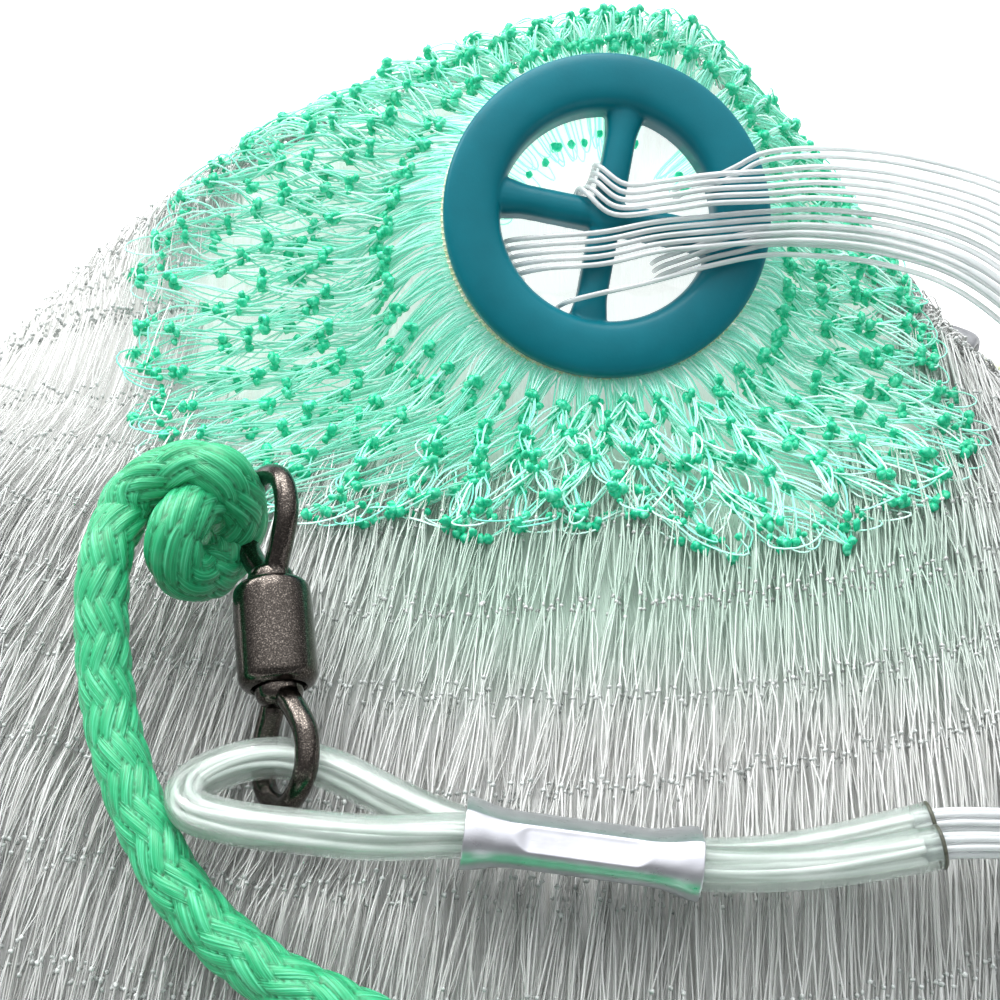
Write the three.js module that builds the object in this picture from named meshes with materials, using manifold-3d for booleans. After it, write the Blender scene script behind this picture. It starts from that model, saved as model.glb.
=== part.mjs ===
// A throw net (cast net) put down in a heap: the horn and the green crown netting on
// top, the clear body netting under them, the lead line round the foot, the braille lines
// coming out of the horn, and the crimped sleeve, swivel and hand line they lead to.
// Millimetres, +Z up, the heap's front towards -Y, origin on the floor under its middle.
import * as THREE from 'three';
import Module from 'manifold-3d';

const wasm = await Module();
wasm.setup();

// ---- driving dimensions ----
const HEAP = { rx: 170, ry: 146, hem: 8, hole: 0.45 };
const SHELF = { top: 53, slope: 0.17 };
const RIDGE = { top: 105, x: 20, left: 0.27, right: 0.75, shoulder: 38, yFoot: 22, yTop: 82 };
const HORN = {
  x: 20, y: 48, z: 84, tilt: 45, yaw: 5.6, roll: -14.5,
  outer: 31, inner: 20.3, front: 4.5, swell: 0.4, back: 4.5, heel: 1.0,
  lip: 1.0, grooveR: 28.2, grooveTop: -0.8, grooveBottom: -3.0, draft: 0.3, flange: 30.2,
};
const SPOKE = { width: 5.7, reach: 21.5, back: 3.5, shoulder: 0, crown: 2.2 };
const HUB = { radius: 3.6, top: 2.8, shoulder: 2.0, nose: 2.7 };
const SEAT = { clear: 0.6, length: 60 };
const THROAT = { radius: 21.5, depth: 14, length: 40 };
const CROWN = { thick: 7, edge: 2.5, hole: 13, gap: 0.35, sunk: 4 };
const LASHING = { radius: 29.2, cord: 0.7, z: -1.9 };
const LINE_R = 0.5;
const SLEEVE = { outer: 3.2, bore: 2.5, bundle: 2.0 };
const CRIMP = { length: 33.5, legGap: 6.9, wall: 1.0, clear: 0.35 };
const BARREL = { r: 6.2, half: 8.75, bore: 5.4, hole: 4.1, wall: 1.15, round: 1.3 };
const EYE = {
  wire: 1.9, stem: 3.75, tip: 2.75, head: 5.0, headTop: 7.2, headDeep: 5.6, neck: 10.15, end: 10.95,
};
const UPPER = { length: 27.1, turn: -58 };
const LOWER = { length: 26.6, turn: -57 };
const ROPE_R = 4.0;
const COIL = {
  x: -8, y: -268, mean: 56, columns: 4, layers: 5, pitch: 8.4, rise: 8.2, z: 6, slack: 0.1, round: 3,
};
const TIE = { clear: 0.45, side: 0.65, thick: 1.3, wide: 12 };
const SLIP = { x: 86.1, y: -286, z: 7.3, half: 7, leg: 5.1, outer: 7.2, inner: 4.35 };
const LEADS = { count: 24, rx: 178, ry: 152, r: 6, bore: 2.8, half: 13, bevel: 1.2, z: 6.2 };
const LEAD_LINE = { ring: 165, r: 1.5 };
const GAP = 0.3;

// ---- where the crimp and the swivel lie, and which way they point ----
const CRIMP_PLACE = { at: [11.2, -74.75, 52.15], along: [33.5, -2.9, -3.5], across: [0, 0.735, -0.678] };
const SWIVEL_PLACE = { at: [-35.1, -41.3, 61.5], up: [-0.129, 0.893, 0.431] };

// ---- materials ----
const paint = (color, roughness, metalness = 0) =>
  new THREE.MeshStandardMaterial({ color, roughness, metalness });
const TEAL = paint(0x1d8496, 0.35);
const MINT = paint(0x3fd09a, 0.4);
const CLEAR_NET = paint(0xd9dcd6, 0.4);
const CLEAR_LINE = paint(0xe6ece9, 0.25);
const CLEAR_SLEEVE = paint(0xcfe0d8, 0.15);
const ALUMINIUM = paint(0xb9bdc1, 0.3, 1);
const GUNMETAL = paint(0x4a423d, 0.35, 1);
const GREEN_ROPE = paint(0x2fbf72, 0.45);
const CREAM = paint(0xe6e6c8, 0.5);
const LEAD = paint(0x6d6f72, 0.55, 0.8);
const STRAP = paint(0x22252a, 0.8);

const net = new THREE.Group();

// ---- helpers ----
const radians = (degrees) => (degrees * Math.PI) / 180;
const vec = (x, y, z) => new THREE.Vector3(x, y, z);
const vectors = (rows) => rows.map((row) => vec(...row));
const clamp01 = (t) => Math.min(1, Math.max(0, t));
const smooth = (t) => clamp01(t) ** 2 * (3 - 2 * clamp01(t));

function addPiece(name, geometry, material, parent = net) {
  const mesh = new THREE.Mesh(geometry, material);
  mesh.name = name;
  parent.add(mesh);
  return mesh;
}

// Shared corners are joined by position alone, which is what a solid needs.
function solidOf(geometry, matrix = new THREE.Matrix4()) {
  const points = [];
  const triangles = [];
  const known = new Map();
  const source = geometry.clone().applyMatrix4(matrix);
  const place = source.getAttribute('position');
  const order = source.index;
  const count = order ? order.count : place.count;
  const cornerOf = (i) => {
    const at = order ? order.getX(i) : i;
    const corner = [place.getX(at), place.getY(at), place.getZ(at)];
    const key = corner.map((value) => Math.round(value * 1e4)).join();
    if (!known.has(key)) {
      known.set(key, points.length / 3);
      points.push(...corner);
    }
    return known.get(key);
  };
  for (let i = 0; i < count; i += 3) {
    const corners = [cornerOf(i), cornerOf(i + 1), cornerOf(i + 2)];
    if (new Set(corners).size === 3) triangles.push(...corners);
  }
  return new wasm.Manifold(new wasm.Mesh({
    numProp: 3,
    vertProperties: new Float32Array(points),
    triVerts: new Uint32Array(triangles),
  }));
}

function geometryOf(solid) {
  const mesh = solid.getMesh();
  const geometry = new THREE.BufferGeometry();
  geometry.setAttribute('position', new THREE.BufferAttribute(mesh.vertProperties, 3));
  geometry.setIndex(new THREE.BufferAttribute(mesh.triVerts, 1));
  geometry.computeVertexNormals();
  return geometry;
}

// A cut can leave crumbs beside the piece itself: the largest part is the piece.
const largest = (solid) => solid.decompose().sort((a, b) => b.volume() - a.volume())[0];

// A curve through points, stepped by its points so that tight bends get more steps.
function pointedCurve(points) {
  const curve = new THREE.CatmullRomCurve3(points, false, 'centripetal');
  curve.getPointAt = (t, target) => curve.getPoint(t, target);
  curve.getTangentAt = (t, target) => curve.getTangent(t, target);
  return curve;
}

function ringShape(radius, sides, bore = 0) {
  const corners = (r) => Array.from({ length: sides }, (unused, i) => new THREE.Vector2(
    r * Math.cos((2 * Math.PI * i) / sides),
    r * Math.sin((2 * Math.PI * i) / sides),
  ));
  const shape = new THREE.Shape(corners(radius));
  if (bore > 0) shape.holes.push(new THREE.Path(corners(bore)));
  return shape;
}

function cordGeometry(curve, radius, steps, sides = 8, bore = 0) {
  return new THREE.ExtrudeGeometry(ringShape(radius, sides, bore), {
    steps, extrudePath: curve, bevelEnabled: false, curveSegments: 1,
  });
}

// Lathe profiles are written as [radius, height] and turned so that height runs along +Z.
function turned(profile, segments) {
  const points = profile.map(([r, z]) => new THREE.Vector2(r, z));
  return new THREE.LatheGeometry(points, segments).rotateX(Math.PI / 2);
}

// ---- the heap's outer surface ----
function heapHeight(x, y) {
  const reach = Math.hypot(x / HEAP.rx, y / HEAP.ry);
  const inside = smooth((1 - reach) / HEAP.hole);
  const shelf = SHELF.top + SHELF.slope * Math.min(y, 0);
  const ridge = RIDGE.top
    - RIDGE.left * Math.max(0, RIDGE.x - x)
    - RIDGE.right * Math.max(0, x - RIDGE.shoulder);
  const climb = smooth((y - RIDGE.yFoot) / (RIDGE.yTop - RIDGE.yFoot));
  const full = shelf + Math.max(0, ridge - shelf) * climb;
  return HEAP.hem + (full - HEAP.hem) * inside;
}

// A lathe of unit radius is bent over the heap: each corner keeps its turn about the
// middle, and place() gives where it lands.
function draped(profile, segments, place) {
  const geometry = turned(profile, segments);
  const corners = geometry.getAttribute('position');
  for (let i = 0; i < corners.count; i += 1) {
    const flat = Math.hypot(corners.getX(i), corners.getY(i));
    const turn = Math.atan2(corners.getY(i), corners.getX(i));
    const at = place(flat, turn, corners.getZ(i));
    corners.setXYZ(i, at.x, at.y, at.z);
  }
  return geometry;
}

// ---- horn frame ----
const hornFrame = new THREE.Matrix4().makeTranslation(HORN.x, HORN.y, HORN.z)
  .multiply(new THREE.Matrix4().makeRotationZ(radians(HORN.yaw)))
  .multiply(new THREE.Matrix4().makeRotationX(radians(HORN.tilt)));
const hornSpot = (x, y, z) => vec(x, y, z).applyMatrix4(hornFrame);

// ---- body netting: the clear mesh, heaped, flat where it lies on the floor ----
const TOP_RINGS = [0, 0.1, 0.2, 0.3, 0.4, 0.5, 0.6, 0.7, 0.8, 0.9, 1];
const heapProfile = [
  [0, 0], [1, 0], ...TOP_RINGS.toReversed().map((r) => [r, 1]),
];
const heapSolid = solidOf(draped(heapProfile, 40, (flat, turn, level) => {
  const x = HEAP.rx * flat * Math.cos(turn);
  const y = HEAP.ry * flat * Math.sin(turn);
  return vec(x, y, level > 0.5 ? heapHeight(x, y) : 0);
}));
// A round hole in the netting about the horn's axis, open towards the front.
function hornHole(radius, back, length, segments) {
  const hole = new THREE.CylinderGeometry(radius, radius, length, segments)
    .rotateX(Math.PI / 2).translate(0, 0, length / 2 - back);
  return solidOf(hole, hornFrame);
}
const hornRoom = hornHole(HORN.outer + SEAT.clear, HORN.back + GAP, SEAT.length, 40);
const throat = hornHole(THROAT.radius, THROAT.depth, THROAT.length, 32);
const bodySolid = heapSolid.subtract(hornRoom).subtract(throat);
addPiece('body_netting', geometryOf(largest(bodySolid)), CLEAR_NET);

// ---- crown netting: the green ruff round the horn, lying on the body netting ----
const RUFF_REACH = [62, 58, 50, 48, 55, 75, 90, 88, 62, 52, 68, 74];
function ruffReach(turn) {
  const place = (((turn / (2 * Math.PI)) % 1) + 1) % 1 * RUFF_REACH.length;
  const from = Math.floor(place);
  const blend = smooth(place - from);
  const next = RUFF_REACH[(from + 1) % RUFF_REACH.length];
  return RUFF_REACH[from % RUFF_REACH.length] * (1 - blend) + next * blend;
}
const RUFF_STEPS = [0, 0.15, 0.3, 0.5, 0.75, 1];
const ruffProfile = [
  ...RUFF_STEPS.map((t) => [1 + t, 0]),
  ...RUFF_STEPS.toReversed().map((t) => [1 + t, 1]),
  [1, 0],
];
const ruffSolid = solidOf(draped(ruffProfile, 40, (flat, turn, level) => {
  const t = flat - 1;
  const reach = CROWN.hole + (ruffReach(turn) - CROWN.hole) * t;
  const x = HORN.x + reach * Math.cos(turn);
  const y = HORN.y + reach * Math.sin(turn);
  const thick = CROWN.thick + (CROWN.edge - CROWN.thick) * t;
  return vec(x, y, heapHeight(x, y) + (level > 0.5 ? thick : -CROWN.sunk));
}));
const bedSolid = heapSolid.translate([0, 0, CROWN.gap]);
const crownSolid = ruffSolid.subtract(bedSolid).subtract(hornRoom).subtract(throat);
addPiece('crown_netting', geometryOf(largest(crownSolid)), MINT);

// ---- horn: a moulded ring with a lashing groove behind its lip, four spokes and a hub ----
function hornRing() {
  const crest = new THREE.CubicBezierCurve(
    new THREE.Vector2(HORN.outer, HORN.lip),
    new THREE.Vector2(HORN.outer, HORN.front),
    new THREE.Vector2(HORN.inner, HORN.front + HORN.swell),
    new THREE.Vector2(HORN.inner, HORN.lip),
  );
  const profile = [
    [HORN.inner, HORN.heel - HORN.back], [HORN.inner + HORN.heel, -HORN.back],
    [HORN.flange, -HORN.back], [HORN.flange, HORN.grooveBottom - HORN.draft],
    [HORN.grooveR, HORN.grooveBottom], [HORN.grooveR, HORN.grooveTop],
    [HORN.outer, HORN.grooveTop + HORN.draft],
    ...crest.getPoints(7).map((p) => [p.x, p.y]),
    [HORN.inner, HORN.heel - HORN.back],
  ];
  return turned(profile, 36);
}
function spokePair() {
  const half = SPOKE.width / 2;
  const section = new THREE.Shape();
  section.moveTo(-half, -SPOKE.back);
  section.lineTo(half, -SPOKE.back);
  section.lineTo(half, SPOKE.shoulder);
  section.absellipse(0, SPOKE.shoulder, half, SPOKE.crown, 0, Math.PI, false);
  section.lineTo(-half, -SPOKE.back);
  return new THREE.ExtrudeGeometry(section, {
    depth: 2 * SPOKE.reach, bevelEnabled: false, curveSegments: 6, steps: 1,
  }).translate(0, 0, -SPOKE.reach).rotateX(Math.PI / 2);
}
const hub = turned([
  [0, -SPOKE.back], [HUB.radius, -SPOKE.back], [HUB.radius, HUB.shoulder],
  [HUB.nose, HUB.top], [0, HUB.top],
], 16);
const spokeTurn = (degrees) => new THREE.Matrix4().makeRotationZ(radians(degrees));
const hornSolid = solidOf(hornRing())
  .add(solidOf(spokePair(), spokeTurn(HORN.roll)))
  .add(solidOf(spokePair(), spokeTurn(HORN.roll + 90)))
  .add(solidOf(hub));
const hornGroup = new THREE.Group();
hornGroup.applyMatrix4(hornFrame);
net.add(hornGroup);
addPiece('horn', geometryOf(hornSolid), TEAL, hornGroup);
addPiece('horn_lashing', new THREE.TorusGeometry(LASHING.radius, LASHING.cord, 6, 36), CREAM,
  hornGroup).position.z = LASHING.z;

// ---- chafe sleeve: clear tube from one mouth, through the crimp, round the swivel's eye
// and back through the crimp to the other mouth ----
const SLEEVE_ROUTE = vectors([
  [62.6, -69.4, 51.0], [56, -70.3, 49.6], [48.3, -71.6, 48.4], [38, -73.0, 47.6],
  [28.0, -73.6, 48.0], [19.6, -72.9, 48.9], [11.2, -72.2, 49.8], [2.8, -71.5, 50.7],
  [-5.6, -70.7, 51.5], [-15.0, -66.6, 52.3], [-25.5, -60.9, 52.9], [-34.0, -58.4, 52.6],
  [-41.0, -60.2, 52.8], [-45.6, -65.0, 54.0], [-44.6, -70.8, 56.0], [-38.0, -74.6, 57.6],
  [-28.0, -76.8, 58.4], [-16.8, -77.4, 57.8], [-5.4, -75.8, 56.2], [2.8, -76.6, 55.4],
  [11.2, -77.3, 54.5], [19.6, -78.0, 53.6], [28.0, -78.7, 52.7], [38, -78.4, 52.0],
  [47.0, -77.4, 51.8], [55, -76.4, 52.4], [62.2, -75.6, 53.4],
]);
const sleeveCurve = new THREE.CatmullRomCurve3(SLEEVE_ROUTE, false, 'centripetal');
addPiece('chafe_sleeve', cordGeometry(sleeveCurve, SLEEVE.outer, 44, 8, SLEEVE.bore),
  CLEAR_SLEEVE);

// The braille lines' middles lie packed in the sleeve: one solid stands for them all.
const BUNDLE_END = 0.012;
const bundlePoints = Array.from({ length: 45 }, (unused, i) =>
  sleeveCurve.getPointAt(BUNDLE_END + ((1 - 2 * BUNDLE_END) * i) / 44));
addPiece('braille_bight',
  cordGeometry(new THREE.CatmullRomCurve3(bundlePoints), SLEEVE.bundle, 40), CLEAR_LINE);

// ---- crimp: an oval aluminium sleeve pressed over both legs ----
function ovalPath(PathClass, halfWidth, radius) {
  const path = new PathClass();
  path.moveTo(-halfWidth, -radius);
  path.lineTo(halfWidth, -radius);
  path.absarc(halfWidth, 0, radius, -Math.PI / 2, Math.PI / 2, false);
  path.lineTo(-halfWidth, radius);
  path.absarc(-halfWidth, 0, radius, Math.PI / 2, (3 * Math.PI) / 2, false);
  return path;
}
const crimpInner = SLEEVE.outer + CRIMP.clear;
const crimpShape = ovalPath(THREE.Shape, CRIMP.legGap / 2, crimpInner + CRIMP.wall);
crimpShape.holes.push(ovalPath(THREE.Path, CRIMP.legGap / 2, crimpInner));
const crimpAxis = vec(...CRIMP_PLACE.along).normalize();
const crimpAcross = vec(...CRIMP_PLACE.across);
crimpAcross.addScaledVector(crimpAxis, -crimpAcross.dot(crimpAxis)).normalize();
const crimpFrame = new THREE.Matrix4().makeBasis(
  crimpAcross, crimpAxis.clone().cross(crimpAcross), crimpAxis,
).setPosition(...CRIMP_PLACE.at);
const crimp = addPiece('crimp_sleeve', new THREE.ExtrudeGeometry(crimpShape, {
  depth: CRIMP.length, bevelEnabled: false, curveSegments: 8, steps: 1,
}).translate(0, 0, -CRIMP.length / 2), ALUMINIUM);
crimp.applyMatrix4(crimpFrame);

// ---- swivel: a hollow barrel and two eyes whose heads turn inside it ----
const swivelUp = vec(...SWIVEL_PLACE.up).normalize();
const swivelRight = vec(1, 0, 0).addScaledVector(swivelUp, -swivelUp.x).normalize();
const swivelFrame = new THREE.Matrix4().makeBasis(
  swivelRight, swivelUp.clone().cross(swivelRight), swivelUp,
).setPosition(...SWIVEL_PLACE.at);
const swivel = new THREE.Group();
swivel.applyMatrix4(swivelFrame);
net.add(swivel);

function barrelProfile() {
  const cavity = BARREL.half - BARREL.wall;
  const right = [
    [BARREL.hole, -BARREL.half], [BARREL.r - BARREL.round, -BARREL.half],
    [BARREL.r, -BARREL.half + BARREL.round], [BARREL.r, BARREL.half - BARREL.round],
    [BARREL.r - BARREL.round, BARREL.half], [BARREL.hole, BARREL.half],
  ];
  const inside = [
    [BARREL.hole, cavity], [BARREL.bore, cavity], [BARREL.bore, -cavity], [BARREL.hole, -cavity],
  ];
  return [...right, ...inside, right[0]];
}
addPiece('swivel_barrel', turned(barrelProfile(), 20), GUNMETAL, swivel);

// One side of an eye's loop, as [distance from the axis, distance along it].
const EYE_OUTLINE = [[2.0, 8.2], [2.3, 10.6], [5.0, 14.0], [7.5, 18.6], [6.3, 24.0]];
function eyeWire(length, wire) {
  const stretch = length / UPPER.length;
  const right = EYE_OUTLINE.map(([side, along]) => vec(side, 0, along * stretch));
  const left = EYE_OUTLINE.toReversed().map(([side, along]) => vec(-side, 0, along * stretch));
  const curve = new THREE.CatmullRomCurve3([...right, vec(0, 0, length), ...left]);
  return cordGeometry(curve, wire, 22, 8);
}
function eyeStem() {
  return turned([
    [0, EYE.headDeep], [EYE.head, EYE.headDeep], [EYE.head, EYE.headTop], [EYE.stem, EYE.headTop],
    [EYE.stem, EYE.neck], [EYE.tip, EYE.end], [0, EYE.end],
  ], 16);
}
function swivelEye(length, turn, flip) {
  const pose = new THREE.Matrix4().makeRotationZ(radians(turn));
  if (flip) pose.multiply(new THREE.Matrix4().makeRotationX(Math.PI));
  return solidOf(eyeWire(length, EYE.wire), pose).add(solidOf(eyeStem(), pose));
}
addPiece('swivel_eye_upper', geometryOf(swivelEye(UPPER.length, UPPER.turn, false)), GUNMETAL,
  swivel);
addPiece('swivel_eye_lower', geometryOf(swivelEye(LOWER.length, LOWER.turn, true)), GUNMETAL,
  swivel);

// ---- hand line: from its knot on the upper eye, down the heap, to the coil ----
const HAND_LINE_ROUTE = vectors([
  [-56.5, -17.5, 71.5], [-60.2, -24.0, 71.2], [-61.9, -31.0, 69.2], [-61.8, -39.5, 65.0],
  [-59.5, -51.9, 58.6], [-56.9, -59.5, 55.6], [-53.6, -66.8, 53.0], [-44.9, -80.4, 48.4],
  [-33.3, -90.3, 45.6], [-22.4, -95.6, 44.2], [-10, -100.5, 41.5], [4, -107, 36.8],
  [16, -116, 30.2], [25, -127, 24.0], [31, -140, 19.6], [34.4, -152, 17.8],
  [35.4, -163, 13.2], [33.2, -172, 8.0], [27.2, -180, 5.2], [18, -186, 4.6],
  [8, -189.6, 4.5], [-1, -190.9, 4.5],
]);
const handLineCurve = new THREE.CatmullRomCurve3(HAND_LINE_ROUTE, false, 'centripetal');
addPiece('hand_line', cordGeometry(handLineCurve, ROPE_R, 36, 8), GREEN_ROPE);

// The knot's two bulges, and the room kept for the rope and the eye that pass through it.
const KNOT_UPPER = { at: [-47.5, -19.5, 70.0], radii: [9.6, 8.0, 7.8] };
const KNOT_LOWER = { at: [-48.8, -27.6, 66.0], radii: [7.4, 7.0, 6.6] };
const KNOT_END_ROOM = ROPE_R + 0.5;
const knotLump = ({ at, radii }) => solidOf(
  new THREE.SphereGeometry(1, 12, 8),
  new THREE.Matrix4().makeTranslation(...at)
    .multiply(new THREE.Matrix4().makeScale(...radii)),
);
const eyeRoom = solidOf(
  eyeWire(UPPER.length, EYE.wire + GAP),
  swivelFrame.clone().multiply(new THREE.Matrix4().makeRotationZ(radians(UPPER.turn))),
);
const knottedRope = new THREE.CatmullRomCurve3(HAND_LINE_ROUTE.slice(0, 5), false, 'centripetal');
const ropeRoom = solidOf(cordGeometry(knottedRope, ROPE_R + GAP, 8, 10));
const ropeEndRoom = solidOf(
  new THREE.SphereGeometry(KNOT_END_ROOM, 12, 8).translate(...HAND_LINE_ROUTE[0].toArray()),
);
const knotSolid = knotLump(KNOT_UPPER).add(knotLump(KNOT_LOWER))
  .subtract(eyeRoom).subtract(ropeRoom).subtract(ropeEndRoom);
addPiece('hand_line_knot', geometryOf(largest(knotSolid)), GREEN_ROPE);

// ---- hand line coil and its tie ----
const coilHalf = ((COIL.columns - 1) * COIL.pitch) / 2 + ROPE_R + COIL.slack;
const coilLow = COIL.z - ROPE_R - COIL.slack;
const coilHigh = COIL.z + (COIL.layers - 1) * COIL.rise + ROPE_R + COIL.slack;
const coilIn = COIL.mean - coilHalf;
const coilOut = COIL.mean + coilHalf;
const coilProfile = [
  [coilIn + COIL.round, coilLow], [coilOut - COIL.round, coilLow],
  [coilOut, coilLow + COIL.round], [coilOut, coilHigh - COIL.round],
  [coilOut - COIL.round, coilHigh], [coilIn + COIL.round, coilHigh],
  [coilIn, coilHigh - COIL.round], [coilIn, coilLow + COIL.round],
  [coilIn + COIL.round, coilLow],
];
const coilGroup = new THREE.Group();
coilGroup.position.set(COIL.x, COIL.y, 0);
net.add(coilGroup);
addPiece('hand_line_coil', turned(coilProfile, 30), GREEN_ROPE, coilGroup);

const rectangle = (PathClass, x0, x1, y0, y1) => new PathClass([
  new THREE.Vector2(x0, y0), new THREE.Vector2(x1, y0),
  new THREE.Vector2(x1, y1), new THREE.Vector2(x0, y1),
]);
const tieIn = coilHalf + TIE.side;
const tieOut = tieIn + TIE.thick;
const tieShape = rectangle(THREE.Shape, -tieOut, tieOut,
  coilLow - TIE.clear - TIE.thick, coilHigh + TIE.clear + TIE.thick);
tieShape.holes.push(
  rectangle(THREE.Path, -tieIn, tieIn, coilLow - TIE.clear, coilHigh + TIE.clear),
);
const tieGeometry = new THREE.ExtrudeGeometry(tieShape, {
  depth: TIE.wide, bevelEnabled: false, steps: 1,
});
tieGeometry.translate(0, 0, -TIE.wide / 2).rotateX(Math.PI / 2).translate(-COIL.mean, 0, 0);
addPiece('coil_tie', tieGeometry, STRAP, coilGroup);

// ---- wrist loop: the rope's tail, a loop for the wrist and the slip knot that sets it ----
const WRIST_ROUTE = vectors([
  [52.0, -317.0, 4.5], [62.0, -313.6, 4.6], [71.0, -309.4, 5.6], [78.0, -303.0, 7.0],
  [81.0, -294.0, 7.3], [81.0, -282.0, 7.3], [81.0, -268.0, 7.3], [81.0, -253.0, 7.3],
  [78.6, -239.0, 6.4], [74.8, -224.0, 4.8], [75.2, -208.0, 4.5], [82.0, -194.0, 4.5],
  [94.0, -186.0, 4.5], [107.0, -188.5, 4.5], [116.0, -200.0, 4.5], [117.5, -215.0, 4.5],
  [110.5, -229.0, 5.0], [99.0, -239.5, 6.2], [91.6, -250.0, 7.2], [91.2, -262.0, 7.3],
  [91.2, -280.0, 7.3], [91.2, -297.0, 7.3],
]);
addPiece('wrist_loop', cordGeometry(
  new THREE.CatmullRomCurve3(WRIST_ROUTE, false, 'centripetal'), ROPE_R, 44, 8), GREEN_ROPE);
const slipShape = ovalPath(THREE.Shape, SLIP.leg, SLIP.outer);
slipShape.holes.push(ovalPath(THREE.Path, SLIP.leg, SLIP.inner));
const slipGeometry = new THREE.ExtrudeGeometry(slipShape, {
  depth: 2 * SLIP.half, bevelEnabled: false, curveSegments: 6, steps: 1,
});
slipGeometry.translate(0, 0, -SLIP.half).rotateX(Math.PI / 2).translate(SLIP.x, SLIP.y, SLIP.z);
addPiece('wrist_slip_knot', slipGeometry, GREEN_ROPE);

// ---- lead line and its leads round the foot of the heap ----
const leadLine = addPiece('lead_line',
  new THREE.TorusGeometry(LEAD_LINE.ring, LEAD_LINE.r, 8, 56), CLEAR_LINE);
leadLine.scale.set(LEADS.rx / LEAD_LINE.ring, LEADS.ry / LEAD_LINE.ring, 1);
leadLine.position.z = LEADS.z;
const leadProfile = [
  [LEADS.bore, -LEADS.half], [LEADS.r - LEADS.bevel, -LEADS.half],
  [LEADS.r, -LEADS.half + LEADS.bevel], [LEADS.r, LEADS.half - LEADS.bevel],
  [LEADS.r - LEADS.bevel, LEADS.half], [LEADS.bore, LEADS.half], [LEADS.bore, -LEADS.half],
];
const leadGeometry = turned(leadProfile, 8).rotateX(Math.PI / 2);
for (let i = 0; i < LEADS.count; i += 1) {
  const turn = (2 * Math.PI * (i + 0.5)) / LEADS.count;
  const lead = addPiece(`lead_${String(i + 1).padStart(2, '0')}`, leadGeometry, LEAD);
  lead.position.set(LEADS.rx * Math.cos(turn), LEADS.ry * Math.sin(turn), LEADS.z);
  lead.rotation.z = Math.atan2(LEADS.ry * Math.cos(turn), -LEADS.rx * Math.sin(turn)) - Math.PI / 2;
}

// ---- braille lines: up out of the horn, over its ring, round, and into the sleeve ----
// Each row: the line's points in the horn's own frame, from the throat to the ring's rim.
const BRAILLES = [
  [[-1.4, 8.8, -12], [-1.5, 9.6, -3], [-1.3, 9.3, 2.0], [3.2, 4.7, 4.6],
    [10, 4.2, 7.0], [18, 4.4, 9.0], [28, 4.0, 11]],
  [[-2.0, 7.4, -12], [-2.0, 8.2, -3], [-1.6, 7.8, 2.0], [2.6, 3.3, 4.6],
    [10, 2.8, 7.0], [18, 3.0, 9.2], [28, 2.6, 11]],
  [[-2.8, 6.2, -12], [-2.8, 6.9, -3], [-2.1, 6.4, 2.0], [2.0, 1.9, 4.6],
    [10, 1.4, 7.1], [18, 1.6, 9.4], [28, 1.2, 11]],
  [[-3.8, 5.0, -12], [-3.9, 5.8, -3], [-3.1, 5.1, 2.0], [1.2, 0.5, 4.6],
    [10, 0.0, 7.2], [18, 0.2, 9.6], [28, -0.2, 11]],
  [[-5.2, 4.6, -12], [-5.2, 5.3, -3], [-4.6, 4.9, 2.0], [0.2, -0.8, 4.6],
    [10, -1.4, 7.3], [18, -1.2, 9.8], [28, -1.6, 11]],
  [[-17.6, -2.8, -12], [-19.2, -2.9, -4], [-12, -3.7, 1.5], [-2, -4.1, 4.2],
    [8, -3.2, 6.2], [18, -3.1, 8], [28, -3.0, 9]],
  [[-17.2, -4.3, -12], [-18.8, -4.5, -4], [-12, -5.2, 1.5], [-2, -5.6, 4.2],
    [8, -4.6, 6.2], [18, -4.5, 8], [28, -4.4, 9]],
  [[-16.8, -5.8, -12], [-18.3, -6.1, -4], [-12, -6.7, 1.5], [-2, -7.1, 4.2],
    [8, -6.0, 6.2], [18, -5.9, 8], [28, -5.8, 9]],
  [[-16.2, -7.3, -12], [-17.7, -7.7, -4], [-12, -8.2, 1.5], [-2, -8.6, 4.2],
    [8, -7.4, 6.2], [18, -7.3, 8], [28, -7.2, 9]],
  [[-15.4, -8.8, -12], [-16.9, -9.3, -4], [-12, -9.7, 1.5], [-2, -10.1, 4.2],
    [8, -8.8, 6.2], [18, -8.7, 8], [28, -8.6, 9]],
  [[-9.5, -15.4, -12], [-10.2, -16.3, -3], [-8.6, -16.4, 2.4], [-4, -15.8, 4.2],
    [6, -14.2, 4.8], [18, -11.8, 5.6], [28, -10.7, 7]],
  [[9.0, -7.6, -12], [10.0, -8.0, -3], [14, -7.6, 1.0], [17, -7.1, 3.0],
    [20, -6.8, 4.8], [24, -6.4, 6.2], [28, -6.0, 7]],
  [[9.3, -9.1, -12], [10.3, -9.5, -3], [14, -9.1, 1.0], [17, -8.6, 3.0],
    [20, -8.3, 4.8], [24, -7.9, 6.2], [28, -7.4, 7]],
  [[9.6, -10.6, -12], [10.6, -11.0, -3], [14, -10.6, 1.0], [17, -10.1, 2.8],
    [20, -9.8, 4.6], [24, -9.4, 6.0], [28, -8.8, 7]],
  [[14.0, 6.1, -12], [15.4, 5.9, -3], [17.2, 5.6, 0.4], [19.2, 5.4, 3.0],
    [21.5, 5.6, 5.6], [24, 6.2, 8.0], [28, 7.5, 10.5]],
  [[14.0, 4.6, -12], [15.4, 4.4, -3], [17.2, 4.1, 0.4], [19.2, 3.9, 3.0],
    [21.5, 4.1, 5.6], [24, 4.7, 8.0], [28, 6.1, 10.5]],
];
// The slot each line takes at the sleeve's mouths: the leg (rear +1, front -1) and the
// turn about the leg's middle, or null for the line in the middle.
const SLOTS = [
  [-1, 0], [-1, null], [-1, 51], [-1, -154], [-1, 103], [1, -51], [1, 0], [1, null], [1, 51],
  [1, 103], [1, 154], [-1, 154], [1, -103], [1, -154], [-1, -51], [-1, -103],
];
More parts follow.
